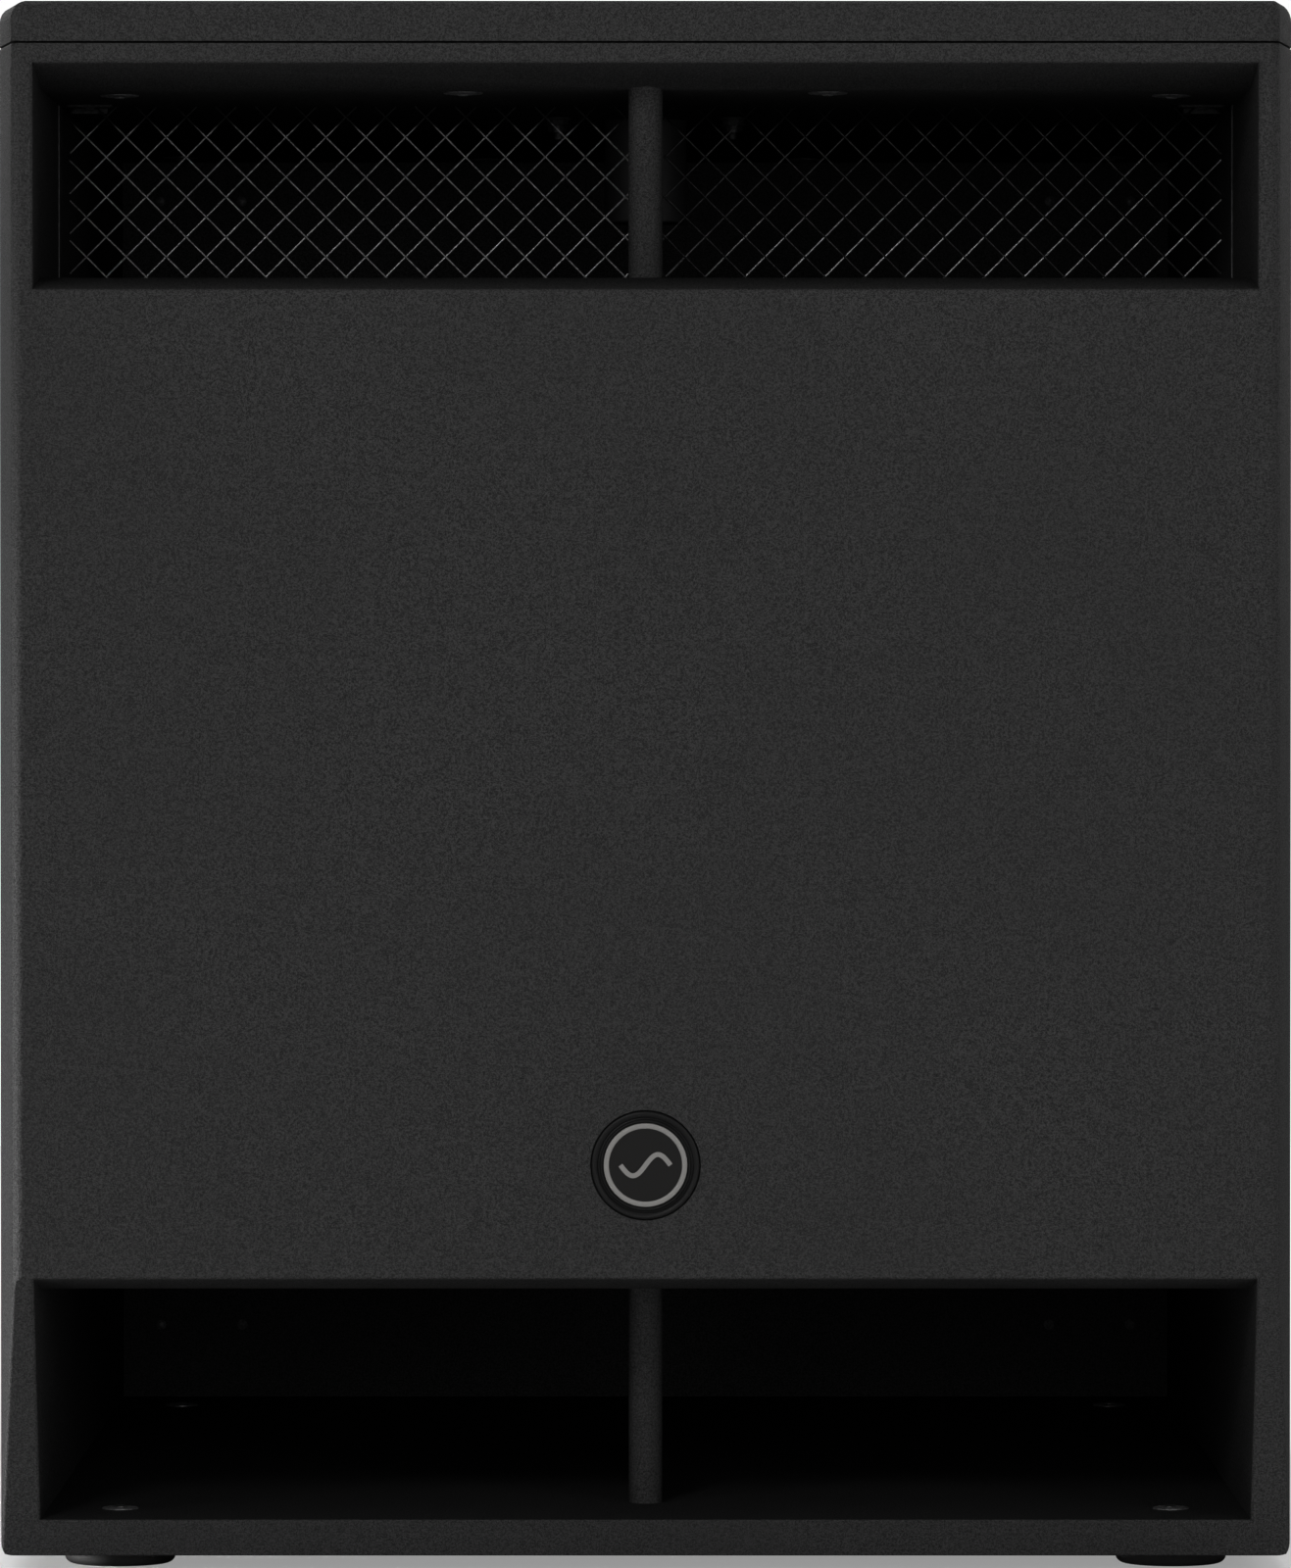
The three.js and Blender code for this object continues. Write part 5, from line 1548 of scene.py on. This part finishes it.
def floor_material():
    """A pale sheet that fades into the background, so there is no horizon."""
    shader = Shader("floor_paper")
    shader.set(Base_Color=shader.mix(shader.noise(scale=1.5, detail=3), 0.82, 0.85),
               Roughness=0.9, Specular_IOR_Level=0.1)
    # some glow, for the camera only, keeps the shadows pale
    glow = shader.node("ShaderNodeEmission")
    glow.inputs["Color"].default_value = (0.86, 0.86, 0.86, 1)
    glow_share = 0.35
    camera_ray = shader.node("ShaderNodeLightPath").outputs["Is Camera Ray"]
    sheet = shader.mix_shader(shader.math("MULTIPLY", camera_ray, glow_share),
                              shader.surface.outputs[0], glow.outputs[0])
    distance = shader.node("ShaderNodeVectorMath", operation="LENGTH")
    shader.feed(shader.place, distance.inputs[0])
    fade = shader.remap(distance.outputs["Value"], span=(1.2, 4.2))
    clear = shader.node("ShaderNodeBsdfTransparent")
    faded = shader.mix_shader(fade, sheet, clear.outputs[0])
    shader.feed(faded, shader.output.inputs[0])


def build_floor():
    floor_material()
    form = Form()
    bmesh.ops.create_circle(form.mesh, cap_ends=True, cap_tris=False, segments=96, radius=12.0)
    floor = form.to_object("floor")
    floor.data.materials.append(MATERIALS["floor_paper"])


def build_world():
    """White to the camera, dimmer as a light."""
    world = bpy.data.worlds.new("studio")
    SCENE.world = world
    world.use_nodes = True
    nodes = Nodes(world.node_tree)

    def white(strength):
        background = nodes.node("ShaderNodeBackground")
        background.inputs["Color"].default_value = (1, 1, 1, 1)
        background.inputs["Strength"].default_value = strength
        return background.outputs[0]

    output = nodes.node("ShaderNodeOutputWorld")
    camera_ray = nodes.node("ShaderNodeLightPath").outputs["Is Camera Ray"]
    mixed = nodes.mix_shader(camera_ray, white(strength=0.30), white(strength=1.0))
    nodes.feed(mixed, output.inputs[0])


def area_light(name, at, aim, size, power, spread=180):
    """A rectangular light; size is (width, height) in metres, spread in degrees."""
    data = bpy.data.lights.new(name, "AREA")
    data.shape = "RECTANGLE"
    data.size, data.size_y = size
    data.energy = power
    data.spread = math.radians(spread)
    light = bpy.data.objects.new(name, data)
    SCENE.collection.objects.link(light)
    light.location = at
    light.rotation_euler = (Vector(aim) - Vector(at)).to_track_quat("-Z", "Y").to_euler()


def build_lights():
    area_light("key_left", at=(-2.6, -3.3, 1.06), aim=(0, -0.2, 0.4), size=(0.9, 0.9), power=12)
    area_light("key_right", at=(2.2, -3.5, 0.95), aim=(0, -0.2, 0.4), size=(0.9, 0.9), power=12)
    area_light("front_soft", at=(-0.1, -5.4, 0.74), aim=(0, 0, 0.35), size=(1.95, 0.9), power=17)
    area_light("front_low", at=(1.3, -4.3, 0.33), aim=(0, 0, 0.2), size=(0.6, 0.6), power=2.5)
    area_light("high_left", at=(-0.95, -3.65, 1.75), aim=(0.1, -0.2, 0.45), size=(0.5, 0.5),
               power=23)
    area_light("side_left", at=(-3.4, 0.05, 0.16), aim=(-0.28, -0.3, 0.05), size=(0.9, 0.36),
               power=5.6, spread=22)
    area_light("side_right", at=(2.6, 1.6, 1.25), aim=(0, 0, 0.4), size=(1.0, 1.0), power=6)
    area_light("top_soft", at=(0.2, -0.2, 3.4), aim=(0, 0, 0.3), size=(2.4, 2.4), power=42)
    area_light("rear_left", at=(-1.8, 3.7, 1.7), aim=(0, 0, 0.35), size=(1.2, 1.2), power=88)
    area_light("rear_right", at=(2.1, 3.6, 1.3), aim=(0, 0, 0.35), size=(1.2, 1.2), power=32)


def build_camera():
    """A long lens in front of the cabinet, looking slightly down."""
    data = bpy.data.cameras.new("camera")
    camera = bpy.data.objects.new("camera", data)
    SCENE.collection.objects.link(camera)
    data.sensor_width = 36.0
    data.lens = 212.9175
    data.clip_start, data.clip_end = 0.1, 60
    distance, height, degrees_down = 4.0, 0.4129, 0.9687
    camera.location = (0, FRONT / 1000 - distance, height)
    camera.rotation_euler = (math.radians(90 - degrees_down), 0, 0)
    SCENE.camera = camera
    SCENE.view_settings.view_transform = "Standard"
    SCENE.view_settings.look = "None"
    SCENE.view_settings.exposure = 0.0
    SCENE.view_settings.gamma = 1.0


make_materials()
build_shell()
build_lid()
build_mesh_wires()
build_mesh_mounts()
build_feet()
build_board_hardware()
build_pole_socket()
build_badge()
build_handles()
build_plate()
build_marks()
build_heat_sink()
build_plate_screws()
build_knob()
build_sliders()
build_power_switch()
build_mains_inlet()
build_breaker_and_nuts()
build_jacks()
build_lamps()
build_fan_screws()
build_driver()
refine_inner_parts()
build_driver_bolts()
build_floor()
build_world()
build_lights()
build_camera()
